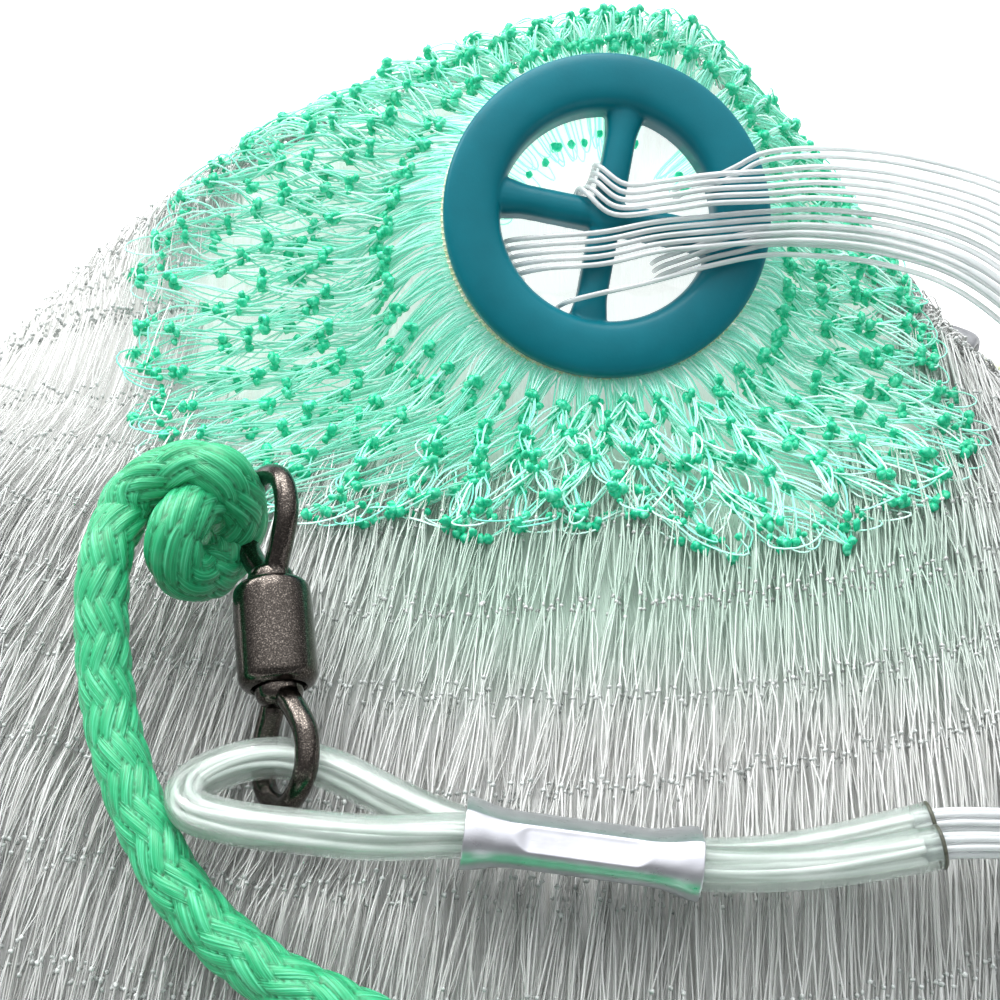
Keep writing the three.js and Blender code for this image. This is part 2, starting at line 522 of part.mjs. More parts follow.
// The bundle's middle past the horn: place, how far it has closed up, and its spread.
const BUNDLE = [
  { at: [58.6, 42.5, 94.5], closed: 0, spread: 1.05 },
  { at: [73.6, 36.7, 95.5], closed: 0, spread: 1.05 },
  { at: [89, 24.5, 95], closed: 0.05, spread: 1.1 },
  { at: [107, 8, 82], closed: 0.25, spread: 1.15 },
  { at: [119.5, -13, 65.5], closed: 0.45, spread: 1.2 },
  { at: [122.5, -35, 52.5], closed: 0.65, spread: 1.2 },
  { at: [114, -54, 47.5], closed: 0.85, spread: 1 },
  { at: [97, -67, 48.8], closed: 0.95, spread: 1 },
  { at: [77, -72, 52], closed: 1, spread: 1 },
  { at: [65.5, -72.5, 52.6], closed: 1, spread: 1 },
];
const RIM_MIDDLE = { up: 8, out: 5 };
const MOUTH = { out: 3.05, up: -1.05, ring: 1.45, deep: 2.6 };
const UP = vec(0, 0, 1);

function bundleFrame(i) {
  const before = vec(...BUNDLE[Math.max(0, i - 1)].at);
  const after = vec(...BUNDLE[Math.min(BUNDLE.length - 1, i + 1)].at);
  const along = after.sub(before).normalize();
  const up = UP.clone().addScaledVector(along, -along.z).normalize();
  return { up, out: along.clone().cross(up) };
}
function brailleRoute(row, [leg, turn]) {
  const rim = row.at(-1);
  const diagonal = Math.SQRT1_2;
  const start = {
    up: diagonal * (rim[1] + rim[2]) - RIM_MIDDLE.up,
    out: diagonal * (rim[2] - rim[1]) - RIM_MIDDLE.out,
  };
  const ring = turn === null ? 0 : MOUTH.ring;
  const end = {
    up: leg * MOUTH.up + ring * Math.cos(radians(turn ?? 0)),
    out: leg * MOUTH.out + ring * Math.sin(radians(turn ?? 0)),
  };
  const points = row.map((spot) => hornSpot(...spot));
  BUNDLE.forEach(({ at, closed, spread }, i) => {
    const { up, out } = bundleFrame(i);
    const rise = start.up * spread * (1 - closed) + end.up * closed;
    const side = start.out * spread * (1 - closed) + end.out * closed;
    points.push(vec(...at).addScaledVector(up, rise).addScaledVector(out, side));
  });
  const mouth = leg > 0 ? SLEEVE_ROUTE[0] : SLEEVE_ROUTE.at(-1);
  const inner = leg > 0 ? SLEEVE_ROUTE[1] : SLEEVE_ROUTE.at(-2);
  const inward = inner.clone().sub(mouth).normalize();
  const up = UP.clone().addScaledVector(inward, -inward.z).normalize();
  const out = inward.clone().cross(up);
  const packed = mouth.clone()
    .addScaledVector(up, ring * Math.cos(radians(turn ?? 0)))
    .addScaledVector(out, ring * Math.sin(radians(turn ?? 0)));
  points.push(packed, packed.clone().addScaledVector(inward, MOUTH.deep));
  return points;
}
BRAILLES.forEach((row, i) => {
  const points = brailleRoute(row, SLOTS[i]);
  addPiece(`braille_${String(i + 1).padStart(2, '0')}`,
    cordGeometry(pointedCurve(points), LINE_R, points.length - 1, 8), CLEAR_LINE);
});

export default net;
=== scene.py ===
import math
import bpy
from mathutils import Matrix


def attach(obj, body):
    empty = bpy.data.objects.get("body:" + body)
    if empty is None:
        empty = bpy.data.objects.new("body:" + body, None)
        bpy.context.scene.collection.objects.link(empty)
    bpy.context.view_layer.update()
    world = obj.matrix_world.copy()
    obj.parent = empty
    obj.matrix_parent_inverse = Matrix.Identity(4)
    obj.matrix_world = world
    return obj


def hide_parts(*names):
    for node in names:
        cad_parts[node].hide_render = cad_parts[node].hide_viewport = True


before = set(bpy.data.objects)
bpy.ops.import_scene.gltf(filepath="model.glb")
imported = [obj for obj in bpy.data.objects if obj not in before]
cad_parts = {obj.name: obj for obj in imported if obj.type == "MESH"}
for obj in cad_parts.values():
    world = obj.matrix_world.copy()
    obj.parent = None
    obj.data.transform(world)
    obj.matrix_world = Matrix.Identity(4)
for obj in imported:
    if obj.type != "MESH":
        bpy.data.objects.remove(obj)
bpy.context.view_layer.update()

# A throw net put down in a heap: clear body netting with its leads, the green crown netting
# lashed to the moulded horn, the braille lines that run from the horn into the crimped
# sleeve, the swivel and the braided hand line with its coil and wrist loop.
# Shapes are worked out in millimetres; add_piece and metres() turn them into the frame's metres.
from types import SimpleNamespace as Sizes

import bpy
import numpy as np
from mathutils import Vector

MM = 0.001
SCENE = bpy.context.scene
UP = np.array([0.0, 0.0, 1.0])

# ---- driving dimensions, as on the CAD model ----
HEAP = Sizes(rx=170, ry=146, hem=8, hole=0.45)
NET = Sizes(hem_rx=168, hem_ry=144, ridge_rx=138, ridge_y=46, least=0.6)
SHELF = Sizes(top=53, slope=0.17)
DENT = Sizes(x=-32.5, y=-60, reach=17, edge=9, deep=3.0)      # under the lower eye
RIDGE = Sizes(top=105, x=20, left=0.27, right=0.75, shoulder=38, foot=22, head=82)
HORN = Sizes(at=(20, 48, 84), tilt=45, yaw=5.6, roll=-14.5, outer=31, inner=20.3, back=4.5)
RUFF_REACH = (62, 58, 50, 48, 55, 75, 90, 88, 62, 52, 68, 74)
ROPE = Sizes(r=4.0, carriers=10, pitch=5.6, ribbon=0.8, sides=50)
COIL = Sizes(x=-8, y=-268, mean=56, columns=4, layers=5, pitch=8.4, rise=8.2, z=6)
SLEEVE = Sizes(outer=3.2, bore=2.65)
CRIMP = Sizes(length=33.5, leg=3.45, inner=3.45, outer=4.5, tilt=22, at=(11.2, -74.75, 52.15))
BARREL = Sizes(r=6.2, half=8.75, hole=4.1, round=1.9)
LEADS = Sizes(count=24, rx=178, ry=152, r=6, bore=2.8, half=13, z=6.2)
LINE_R = 0.5
LUMP = Sizes(rings=3, sides=6, faces=36)        # one knot of the netting; faces in triangles


# ---- numbers, lines and meshes ----
def metres(points):
    return (np.asarray(points, float) * MM).tolist()


def unit(v):
    return v / np.linalg.norm(v, axis=-1, keepdims=True)


def smooth(t):
    t = np.clip(t, 0, 1)
    return t * t * (3 - 2 * t)


def fade(value, start, end):
    """0 up to start, 1 from end on, and smooth between them; end may be the lower one."""
    return smooth((value - start) / (end - start))


def circle(count):
    """Even angles round a circle."""
    return 2 * np.pi * np.arange(count) / count


def curve_through(points, steps=8):
    """The centripetal Catmull-Rom line through the points, with this many steps in each span."""
    p = np.asarray(points, float)
    p = np.vstack([2 * p[0] - p[1], p, 2 * p[-1] - p[-2]])
    gap = np.sqrt(np.linalg.norm(np.diff(p, axis=0), axis=1))
    t = np.linspace(0, 1, steps, endpoint=False)[:, None]
    line = []
    for i in range(1, len(p) - 2):
        a, b, c = gap[i - 1], gap[i], gap[i + 1]
        ahead = (p[i + 1] - p[i]) / b
        leave = ((p[i] - p[i - 1]) / a - (p[i + 1] - p[i - 1]) / (a + b) + ahead) * b
        reach = (ahead - (p[i + 2] - p[i]) / (b + c) + (p[i + 2] - p[i + 1]) / c) * b
        line.append((2 * t**3 - 3 * t**2 + 1) * p[i] + (t**3 - 2 * t**2 + t) * leave
                    + (3 * t**2 - 2 * t**3) * p[i + 1] + (t**3 - t**2) * reach)
    return np.vstack([*line, p[-2:-1]])


def distances(line):
    return np.concatenate([[0], np.cumsum(np.linalg.norm(np.diff(line, axis=0), axis=1))])


def respaced(line, step):
    """The same line in even steps of about this length."""
    far = distances(line)
    at = np.linspace(0, far[-1], max(2, round(far[-1] / step)) + 1)
    return np.column_stack([np.interp(at, far, line[:, k]) for k in range(3)])


def frames_along(line):
    """Tangents and two cross directions that turn no more than the line does."""
    along = unit(np.gradient(line, axis=0))
    hint = UP if abs(along[0] @ UP) < 0.9 else np.array([1.0, 0, 0])
    side = [unit(np.cross(along[0], hint))]
    for t in along[1:]:
        kept = side[-1] - t * (side[-1] @ t)
        side.append(kept / np.linalg.norm(kept))
    side = np.array(side)
    return along, side, np.cross(along, side)


def grid_faces(rows, columns, closed_rows=False):
    """Quads between the corners of a grid, whose rows run along and whose columns go round."""
    index = np.arange(rows * columns).reshape(rows, columns)
    if closed_rows:
        index = np.vstack([index, index[:1]])
    index = np.hstack([index, index[:, :1]])
    quads = np.stack([index[:-1, :-1], index[:-1, 1:], index[1:, 1:], index[1:, :-1]], axis=-1)
    return quads.reshape(-1, 4)


def joined(parts):
    """Several (corners, faces) shapes as one."""
    corners, faces, start = [], [], 0
    for points, polygons in parts:
        corners.append(points)
        faces += [polygon + start for polygon in polygons]
        start += len(points)
    return np.vstack(corners), faces


def polar(radius, turn, height):
    """Points round Z, from numbers or arrays that go together."""
    return np.stack(np.broadcast_arrays(radius * np.cos(turn), radius * np.sin(turn), height), axis=-1)


def fan(ring, apex):
    """Triangles from each side of a ring of corners to one more corner."""
    return np.column_stack([ring, np.roll(ring, -1), np.full(len(ring), apex)])


def tube(line, radius, sides=12, lift=None, capped=True, closed=False):
    """A round tube along a line; radius is one number or one for each step, lift one for each corner."""
    _, side, up = frames_along(line)
    turn = circle(sides)
    reach = np.broadcast_to(np.asarray(radius, float).reshape(-1, 1), (len(line), sides))
    if lift is not None:
        reach = reach + lift
    spoke = np.cos(turn)[None, :, None] * side[:, None] + np.sin(turn)[None, :, None] * up[:, None]
    corners = (line[:, None] + reach[..., None] * spoke).reshape(-1, 3)
    faces = [grid_faces(len(line), sides, closed_rows=closed)]
    if capped and not closed:
        ring, last = np.arange(sides), len(corners)
        faces += [fan(ring, last)[:, [1, 0, 2]], fan(last - sides + ring, last + 1)]
        corners = np.vstack([corners, line[0], line[-1]])
    return corners, faces


def twisted_ring(rx, ry, level, radius, lift, counts):
    """A laid cord of three strands round an ellipse; counts are its steps and its twists."""
    turn = circle(counts[0])
    ring = polar(1, turn, level) * [rx, ry, 1]
    twist = lift * np.cos(3 * (circle(12) - counts[1] * turn[:, None]))
    return tube(ring, radius, 12, lift=twist, closed=True)


def walled(outer, inner, count):
    """An outer and an inner surface with count corners in each ring, joined at their open ends."""
    inside, ring = len(outer), np.arange(count)
    after, end = np.roll(ring, -1), inside - count
    wall = grid_faces(inside // count, count)
    return np.vstack([outer, inner]), [
        wall, wall[:, ::-1] + inside,
        np.column_stack([after, ring, inside + ring, inside + after]),
        np.column_stack([end + ring, end + after, inside + end + after, inside + end + ring]),
    ]


def turned(profile, segments=64, closed=False):
    """A lathe of [radius, height] points about +Z; the profile runs up the outside."""
    profile = np.asarray(profile, float)
    rings = polar(profile[:, :1], circle(segments), profile[:, 1:])
    return rings.reshape(-1, 3), [grid_faces(len(profile), segments, closed_rows=closed)]


def rounded(profile, closed=True):
    """A profile with its corners softened, for a lathe or an outline."""
    p = np.asarray(profile, float)
    for _ in range(2):
        ahead = np.roll(p, -1, axis=0)
        cut = np.stack([p * 0.78 + ahead * 0.22, p * 0.22 + ahead * 0.78], axis=1).reshape(-1, 2)
        p = cut if closed else np.vstack([p[:1], cut[:-2], p[-1:]])
    return p


def strands(lines, radius, sides=3):
    """Thin tubes along many lines of the same number of points."""
    along = unit(np.gradient(lines, axis=1))
    side = unit(np.cross(along, unit(np.array([0.21, 0.13, 0.97]))))
    up = np.cross(along, side)
    turn = circle(sides)
    spoke = np.cos(turn)[:, None] * side[:, :, None] + np.sin(turn)[:, None] * up[:, :, None]
    thick = np.broadcast_to(np.asarray(radius, float).reshape(-1, 1, 1, 1), (len(lines), 1, 1, 1))
    corners = lines[:, :, None] + thick * spoke
    count, steps = lines.shape[:2]
    index = np.arange(count * steps * sides).reshape(count, steps, sides)
    after = np.roll(index, -1, axis=2)
    quads = np.stack([index[:, :-1], after[:, :-1], after[:, 1:], index[:, 1:]], axis=-1)
    return corners.reshape(-1, 3), [quads.reshape(-1, 4)]


def beads(rng, centres, radius):
    """Small uneven knots: a squashed ball at each centre."""
    rings, sides = LUMP.rings, LUMP.sides
    level = np.pi * (np.arange(rings)[:, None] + 1) / (rings + 1)
    ball = polar(np.sin(level), circle(sides), np.cos(level)).reshape(-1, 3)
    ball = np.vstack([ball, [0, 0, 1], [0, 0, -1]])
    size = radius * rng.uniform(0.7, 1.25, (len(centres), 1, 3))
    lumps = rng.uniform(0.82, 1.18, (len(centres), len(ball), 1))
    corners = centres[:, None] + ball * size * lumps
    ring, top = np.arange(sides), rings * sides
    quads = grid_faces(rings, sides)[:, ::-1]
    caps = np.vstack([fan(ring, top), fan(top - sides + ring, top + 1)[:, [1, 0, 2]]])
    start = (np.arange(len(centres)) * len(ball))[:, None, None]
    return corners.reshape(-1, 3), [(quads + start).reshape(-1, 4), (caps + start).reshape(-1, 3)]


def placed(shape, matrix):
    """A shape moved by a 4 x 4 matrix."""
    corners, faces = shape
    return corners @ matrix[:3, :3].T + matrix[:3, 3], faces


def turn_about(axis, degrees):
    """The 4 x 4 matrix of a turn about X, Y or Z."""
    c, s = math.cos(math.radians(degrees)), math.sin(math.radians(degrees))
    matrix = np.eye(4)
    i, j = {"X": (1, 2), "Y": (2, 0), "Z": (0, 1)}[axis]
    matrix[i, i] = matrix[j, j] = c
    matrix[j, i], matrix[i, j] = s, -s
    return matrix


def moved(x, y, z):
    matrix = np.eye(4)
    matrix[:3, 3] = (x, y, z)
    return matrix


def linked(name, data):
    """A new object in the scene."""
    thing = bpy.data.objects.new(name, data)
    SCENE.collection.objects.link(thing)
    return thing


def add_piece(name, shape, paint, slot, body="root", replaces=(), uv=None, marks=None):
    """A shown piece of the net: its mesh, material, body and the nodes it stands for; slot is not used."""
    corners, faces = shape
    mesh = bpy.data.meshes.new(name)
    mesh.vertices.add(len(corners))
    mesh.vertices.foreach_set("co", (corners * MM).astype(np.float32).ravel())
    sizes = np.concatenate([np.full(len(f), f.shape[1]) for f in faces])
    loops = np.concatenate([f.ravel() for f in faces])
    mesh.loops.add(len(loops))
    mesh.loops.foreach_set("vertex_index", loops.astype(np.int32))
    mesh.polygons.add(len(sizes))
    starts = np.concatenate([[0], np.cumsum(sizes)[:-1]])
    mesh.polygons.foreach_set("loop_start", starts.astype(np.int32))
    if uv is not None:
        layer = mesh.uv_layers.new(name="lay")
        layer.uv.foreach_set("vector", uv.astype(np.float32).ravel())
    for mark, values in (marks or {}).items():
        attribute = mesh.attributes.new(mark, "FLOAT", "POINT")
        attribute.data.foreach_set("value", np.asarray(values, np.float32))
    mesh.update(calc_edges=True)
    mesh.shade_smooth()
    mesh.materials.append(paint)
    piece = linked(name, mesh)
    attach(piece, body)
    if replaces:
        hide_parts(*replaces)
    return piece


def finished(piece, *steps):
    """Applies modifiers, given as (kind, settings), to the piece's own mesh."""
    for kind, settings in steps:
        modifier = piece.modifiers.new(kind.lower(), kind)
        for key, value in settings.items():
            setattr(modifier, key, value)
    graph = bpy.context.evaluated_depsgraph_get()
    mesh = bpy.data.meshes.new_from_object(piece.evaluated_get(graph))
    piece.modifiers.clear()
    piece.data = mesh
    mesh.shade_smooth()


# ---- materials ----
class Nodes:
    """A node tree, with a way to add a node and feed its sockets."""

    def __init__(self, tree):
        self.tree = tree

    def node(self, kind, inputs=None, **settings):
        node = self.tree.nodes.new("ShaderNode" + kind)
        for key, value in settings.items():
            setattr(node, key, value)
        for socket, value in (inputs or {}).items():
            self.feed(node.inputs[socket], value)
        return node

    def feed(self, socket, value):
        if isinstance(value, bpy.types.NodeSocket):
            self.tree.links.new(value, socket)
        elif isinstance(value, bpy.types.Node):
            self.tree.links.new(value.outputs[0], socket)
        else:
            socket.default_value = value


class Paint(Nodes):
    """A procedural material: constants go on the Principled shader's sockets, nodes before it."""

    def __init__(self, name, **constants):
        self.material = bpy.data.materials.new(name)
        self.material.use_nodes = True
        super().__init__(self.material.node_tree)
        self.shader = self.tree.nodes["Principled BSDF"]
        for socket, value in constants.items():
            self.use(socket.replace("_", " "), value)

    def use(self, socket, value):
        self.feed(self.shader.inputs[socket], value)

    def texture(self, kind, scale, source="Object", **inputs):
        """A texture in coordinates stretched by scale, which is one number or one for each direction."""
        stretch = scale if isinstance(scale, tuple) else (scale,) * 3
        place = self.node("Mapping", {"Vector": self.node("TexCoord").outputs[source], "Scale": stretch})
        return self.node("Tex" + kind, {"Vector": place, "Scale": 1.0, **inputs}).outputs["Fac"]

    def noise(self, scale, detail, source="Object"):
        return self.texture("Noise", scale, source, Detail=detail)

    def mark(self, name):
        """A value that the mesh keeps for each corner."""
        return self.node("Attribute", attribute_name=name).outputs["Fac"]

    def sum(self, first, second, operation="ADD"):
        return self.node("Math", {0: first, 1: second}, operation=operation).outputs[0]

    def ramp(self, value, *stops):
        node = self.node("ValToRGB", {"Fac": value})
        marks = node.color_ramp.elements
        while len(marks) < len(stops):
            marks.new(0.5)
        for mark, (at, color) in zip(marks, stops):
            mark.position = at
            mark.color = (*color, 1)
        return node.outputs["Color"]

    def range(self, value, low, high, start=0.0, end=1.0):
        return self.node("MapRange", {"Value": value, "From Min": start, "From Max": end,
                                      "To Min": low, "To Max": high}).outputs["Result"]

    def blend(self, share, first, second):
        node = self.node("Mix", {0: share}, data_type="RGBA")
        for socket, value in ((node.inputs[6], first), (node.inputs[7], second)):
            self.feed(socket, value if isinstance(value, bpy.types.NodeSocket) else (*value, 1))
        return node.outputs[2]

    def tint(self, value, *stops):
        self.use("Base Color", self.ramp(value, *stops))

    def rough(self, value, low, high):
        self.use("Roughness", self.range(value, low, high))

    def glow(self, bright, dark=(0.0, 0.0, 0.0)):
        """Painted glow: an emission coloured by the mesh's glow mark, which stands in for light that comes
        through the netting from behind.
        """
        self.use("Emission Color", self.blend(self.mark("glow"), dark, bright))

    def bump(self, height, distance, strength):
        self.use("Normal", self.node("Bump", {
            "Height": height, "Distance": distance, "Strength": strength}))


def rope_green():
    paint = Paint("rope_green", IOR=1.5, Sheen_Weight=0.08, Sheen_Roughness=0.4)
    fibre = paint.noise((9.0, 0.55, 1.0), 2.0, "UV")
    core = paint.ramp(
        fibre, (0.28, (0.0, 0.175, 0.058)), (0.5, (0.005, 0.375, 0.140)), (0.74, (0.12, 0.68, 0.38)))
    lit = paint.blend(paint.range(paint.noise(260, 2.0), 0.0, 0.4), core, (0.06, 0.50, 0.24))
    # Painted shade: where the crest mark is low, down between the braid's ribbons, the colour is darkened
    # to deep green.
    crest = paint.range(paint.mark("crest"), 0.0, 1.0, 0.1, 0.6)
    paint.use("Base Color", paint.blend(crest, (0.0, 0.12, 0.035), lit))
    paint.rough(fibre, 0.46, 0.28)
    paint.bump(fibre, 0.00022, 0.9)
    return paint.material


def green_strand():
    paint = Paint("green_strand", IOR=1.5, Alpha=0.85, Emission_Strength=1.0)
    paint.tint(paint.mark("tone"),
               (0.0, (0.06, 0.62, 0.42)), (0.35, (0.30, 0.90, 0.71)), (1.0, (0.78, 0.99, 0.92)))
    # Painted glow: a pale green emission, as strong as the glow mark, standing in for light coming through
    # the strands.
    paint.glow((0.30, 0.66, 0.54))
    paint.rough(paint.noise(700, 2.0), 0.18, 0.38)
    return paint.material


def green_knot():
    paint = Paint("green_knot", IOR=1.5, Emission_Strength=1.0)
    lump = paint.noise(900, 3.0)
    paint.tint(lump, (0.3, (0.0, 0.32, 0.15)), (0.5, (0.008, 0.52, 0.27)), (0.74, (0.22, 0.82, 0.57)))
    # Painted glow: a green emission, as strong as the glow mark, that lightens the knots where they lie in
    # shadow.
    paint.glow((0.01, 0.40, 0.21))
    paint.rough(lump, 0.2, 0.4)
    paint.bump(lump, 0.0004, 0.8)
    return paint.material


def clear_strand():
    paint = Paint("clear_strand", IOR=1.52, Alpha=0.85, Emission_Strength=1.0)
    clear = paint.ramp(paint.mark("tone"),
                       (0.0, (0.52, 0.53, 0.50)), (0.5, (0.68, 0.69, 0.67)), (1.0, (0.86, 0.87, 0.85)))
    paint.use("Base Color", paint.blend(paint.mark("green"), clear, (0.40, 0.64, 0.50)))
    # Painted glow: a grey-white emission, as strong as the glow mark, standing in for light from behind.
    paint.glow((0.60, 0.60, 0.60))
    paint.rough(paint.noise(600, 2.0), 0.12, 0.34)
    return paint.material


def netting_deep():
    """The heap under the top strands, where many layers of netting run together. Its emission, set by
    the glow mark, is painted glow that stands in for light coming through from behind."""
    paint = Paint("netting_deep", IOR=1.45, Emission_Strength=1.0)
    fine = paint.noise((900, 3.0, 1.0), 3.0, "UV")
    both = paint.sum(paint.noise((170, 1.2, 1.0), 5.0, "UV"), fine)
    half = paint.sum(both, 0.5, "MULTIPLY")
    clear = paint.ramp(
        half, (0.36, (0.50, 0.50, 0.47)), (0.5, (0.68, 0.69, 0.67)), (0.62, (0.84, 0.85, 0.84)))
    paint.use("Base Color", paint.blend(paint.mark("green"), clear, (0.38, 0.62, 0.48)))
    # Painted glow: emission from near black up to pale grey-white as the glow mark rises.
    paint.glow((0.80, 0.82, 0.80), (0.02, 0.02, 0.02))
    paint.rough(fine, 0.35, 0.6)
    paint.bump(half, 0.0012, 0.7)
    return paint.material


def gunmetal():
    paint = Paint("gunmetal", Metallic=1.0)
    speck = paint.noise(4600, 4.0)
    dark = paint.ramp(
        speck, (0.35, (0.036, 0.030, 0.026)), (0.55, (0.100, 0.086, 0.076)), (0.72, (0.38, 0.33, 0.29)))
    worn = paint.range(paint.noise(260, 4.0), 0.0, 0.5)
    paint.use("Base Color", paint.blend(worn, dark, (0.045, 0.040, 0.036)))
    paint.rough(speck, 0.08, 0.24)
    paint.bump(speck, 0.00003, 0.6)
    return paint.material


def tie_webbing():
    paint = Paint("tie_webbing", Sheen_Weight=0.3)
    pile = paint.noise(1400, 4.0)
    paint.tint(pile, (0.3, (0.010, 0.011, 0.014)), (0.7, (0.050, 0.053, 0.060)))
    paint.rough(pile, 0.7, 0.95)
    paint.bump(paint.texture("Wave", 900, Distortion=2.0), 0.0003, 0.7)
    return paint.material


# Sockets of the shader; then a noise's scale and detail, with the two colours that it runs
# between, with the lowest and highest roughness, and with the bump's distance and strength.
SIMPLE_PAINTS = {
    "horn_teal": ({"IOR": 1.5, "Specular IOR Level": 0.18},
                  (90, 4.0, (0.001, 0.122, 0.160), (0.002, 0.152, 0.198)),
                  (1600, 3.0, 0.26, 0.38), (1600, 3.0, 0.00004, 0.5)),
    "clear_knot": ({"IOR": 1.52}, (1100, 3.0, (0.30, 0.32, 0.31), (0.68, 0.71, 0.69)),
                   (1100, 3.0, 0.1, 0.3), (1100, 3.0, 0.0004, 0.8)),
    "braille_clear": ({"IOR": 1.5, "Transmission Weight": 0.45, "Coat Weight": 0.3, "Coat Roughness": 0.12},
                   (120, 2.0, (0.76, 0.80, 0.80), (0.92, 0.94, 0.95)), (120, 2.0, 0.14, 0.26), None),
    "clear_tubing": ({"IOR": 1.38, "Transmission Weight": 0.9, "Alpha": 0.55},
                     (140, 2.0, (0.62, 0.71, 0.65), (0.86, 0.92, 0.88)), (140, 2.0, 0.03, 0.10), None),
    "cut_edge": ({"IOR": 1.45}, (1500, 2.0, (0.030, 0.030, 0.020), (0.10, 0.105, 0.075)),
                 (1500, 2.0, 0.25, 0.45), None),
    "aluminium": ({"Metallic": 1.0}, ((150, 220, 220), 3.0, (0.50, 0.50, 0.54), (0.72, 0.72, 0.76)),
                  ((400, 1800, 1800), 4.0, 0.22, 0.38), ((400, 1800, 1800), 4.0, 0.00003, 0.5)),
    "laid_cream": ({"IOR": 1.45, "Sheen Weight": 0.2}, (700, 3.0, (0.62, 0.66, 0.36), (0.92, 0.93, 0.76)),
                   (700, 3.0, 0.4, 0.7), (700, 3.0, 0.0003, 0.6)),
    "lead_grey": ({"Metallic": 0.6}, (170, 5.0, (0.19, 0.195, 0.205), (0.40, 0.405, 0.42)),
                  (170, 5.0, 0.62, 0.38), (600, 4.0, 0.0005, 0.5)),
    "studio_floor": ({"Roughness": 0.6}, (3, 2.0, (0.86, 0.86, 0.86), (0.90, 0.90, 0.90)), None, None),
}
STOPS = {"clear_knot": (0.3, 0.6)}      # where the noise reaches its two colours; (0.3, 0.7) elsewhere


def simple_paint(name):
    """The material of this name, made when it's first asked for."""
    if name in bpy.data.materials:
        return bpy.data.materials[name]
    sockets, colour, rough, bump = SIMPLE_PAINTS[name]
    paint = Paint(name, **sockets)
    scale, detail, *colours = colour
    paint.tint(paint.noise(scale, detail), *zip(STOPS.get(name, (0.3, 0.7)), colours))
    if rough:
        paint.rough(paint.noise(*rough[:2]), *rough[2:])
    if bump:
        paint.bump(paint.noise(*bump[:2]), *bump[2:])
    return paint.material


# ---- camera, floor and light ----
CAMERA = Sizes(at=(-0.2, -216.3, 235.7), down=40, lens=57.1, sensor=36)
FLOOR_SIZE = 60     # metres, so that no view finds its edge
SKY = Sizes(bright_way=(0, 0.26, 0.966), start=0.22, end=0.98, dim=0.33, bright=1.85,
            color=(0.96, 0.98, 1.0, 1))
LIGHTS = [      # name, place and aim in metres, size, power
    ("overhead", (-0.15, 0.45, 0.90), (0, 0.02, 0.05), 0.8, 11),
    ("left_window", (-0.75, 0.45, 0.6), (-0.05, 0.05, 0.05), 0.4, 4),
]


def set_camera():
    data = bpy.data.cameras.new("camera")
    data.lens, data.sensor_width, data.clip_start = CAMERA.lens, CAMERA.sensor, 0.01
    camera = linked("camera", data)
    camera.location = metres(CAMERA.at)
    camera.rotation_euler = (math.radians(90 - CAMERA.down), 0, 0)
    SCENE.camera = camera


def set_stage():
    bpy.ops.mesh.primitive_plane_add(size=FLOOR_SIZE)
    floor = bpy.context.object
    floor.name = "studio_floor"
    floor.data.materials.append(simple_paint("studio_floor"))


def set_light():
    """A studio tent: bright overhead and behind, dimmer low down and on the camera's side."""
    world = bpy.data.worlds.new("studio")
    SCENE.world = world
    world.use_nodes = True
    sky = Nodes(world.node_tree)
    facing = sky.node("VectorMath", {0: sky.node("TexCoord").outputs["Generated"], 1: SKY.bright_way},
                      operation="DOT_PRODUCT")
    level = sky.node("MapRange", {
        "Value": facing.outputs["Value"], "From Min": SKY.start, "From Max": SKY.end,
        "To Min": SKY.dim, "To Max": SKY.bright}, interpolation_type="SMOOTHSTEP")
    background = sky.tree.nodes["Background"]
    sky.feed(background.inputs["Color"], SKY.color)
    sky.feed(background.inputs["Strength"], level)
    for name, at, aim, size, power in LIGHTS:
        data = bpy.data.lights.new(name, "AREA")
        data.size, data.energy = size, power
        light = linked(name, data)
        light.location = at
        light.rotation_euler = (Vector(aim) - Vector(at)).to_track_quat("-Z", "Y").to_euler()
    SCENE.view_settings.view_transform = "Standard"


# ---- hand line, its coil and the wrist loop: one braided rope ----
HAND_LINE_ROUTE = [
    [-56.5, -17.5, 71.5], [-60.2, -24, 71.2], [-61.9, -31, 69.2], [-61.8, -39.5, 65],
    [-59.5, -51.9, 58.6], [-56.9, -59.5, 55.6], [-53.6, -66.8, 53], [-44.9, -80.4, 48.4],
    [-33.3, -90.3, 45.6], [-22.4, -95.6, 44.2], [-10, -100.5, 41.5], [4, -107, 36.8],
    [16, -116, 30.2], [25, -127, 24], [31, -140, 19.6], [34.4, -152, 17.8],
    [35.4, -163, 13.2], [33.2, -172, 8], [27.2, -180, 5.2], [18, -186, 4.6],
    [8, -189.6, 4.5], [-1, -190.9, 4.5],
]
WRIST_ROUTE = [
    [52, -317, 4.5], [62, -313.6, 4.6], [71, -309.4, 5.6], [78, -303, 7],
    [81, -294, 7.3], [81, -282, 7.3], [81, -268, 7.3], [81, -253, 7.3],
    [78.6, -239, 6.4], [74.8, -224, 4.8], [75.2, -208, 4.5], [82, -194, 4.5],
    [94, -186, 4.5], [107, -188.5, 4.5], [116, -200, 4.5], [117.5, -215, 4.5],
    [110.5, -229, 5], [99, -239.5, 6.2], [91.6, -250, 7.2], [91.2, -262, 7.3],
    [91.2, -280, 7.3], [91.2, -297, 7.3],
]
KNOT_ROUTE = [
    [-61, -25.5, 70.6], [-59.6, -22, 72.6], [-56.3, -20.2, 75], [-50.6, -19.4, 77.2],
    [-44.6, -20.2, 76.6], [-42.4, -20, 70.6], [-43.8, -20.4, 63.2], [-47, -26, 61.2],
    [-50.6, -31.2, 66.2], [-51.4, -29.8, 71.8], [-48.6, -24, 73.2], [-46.4, -17.5, 69.6],
    [-50, -14.6, 63.2],
]
COIL_START = 130        # degrees round the coil where its first turn begins
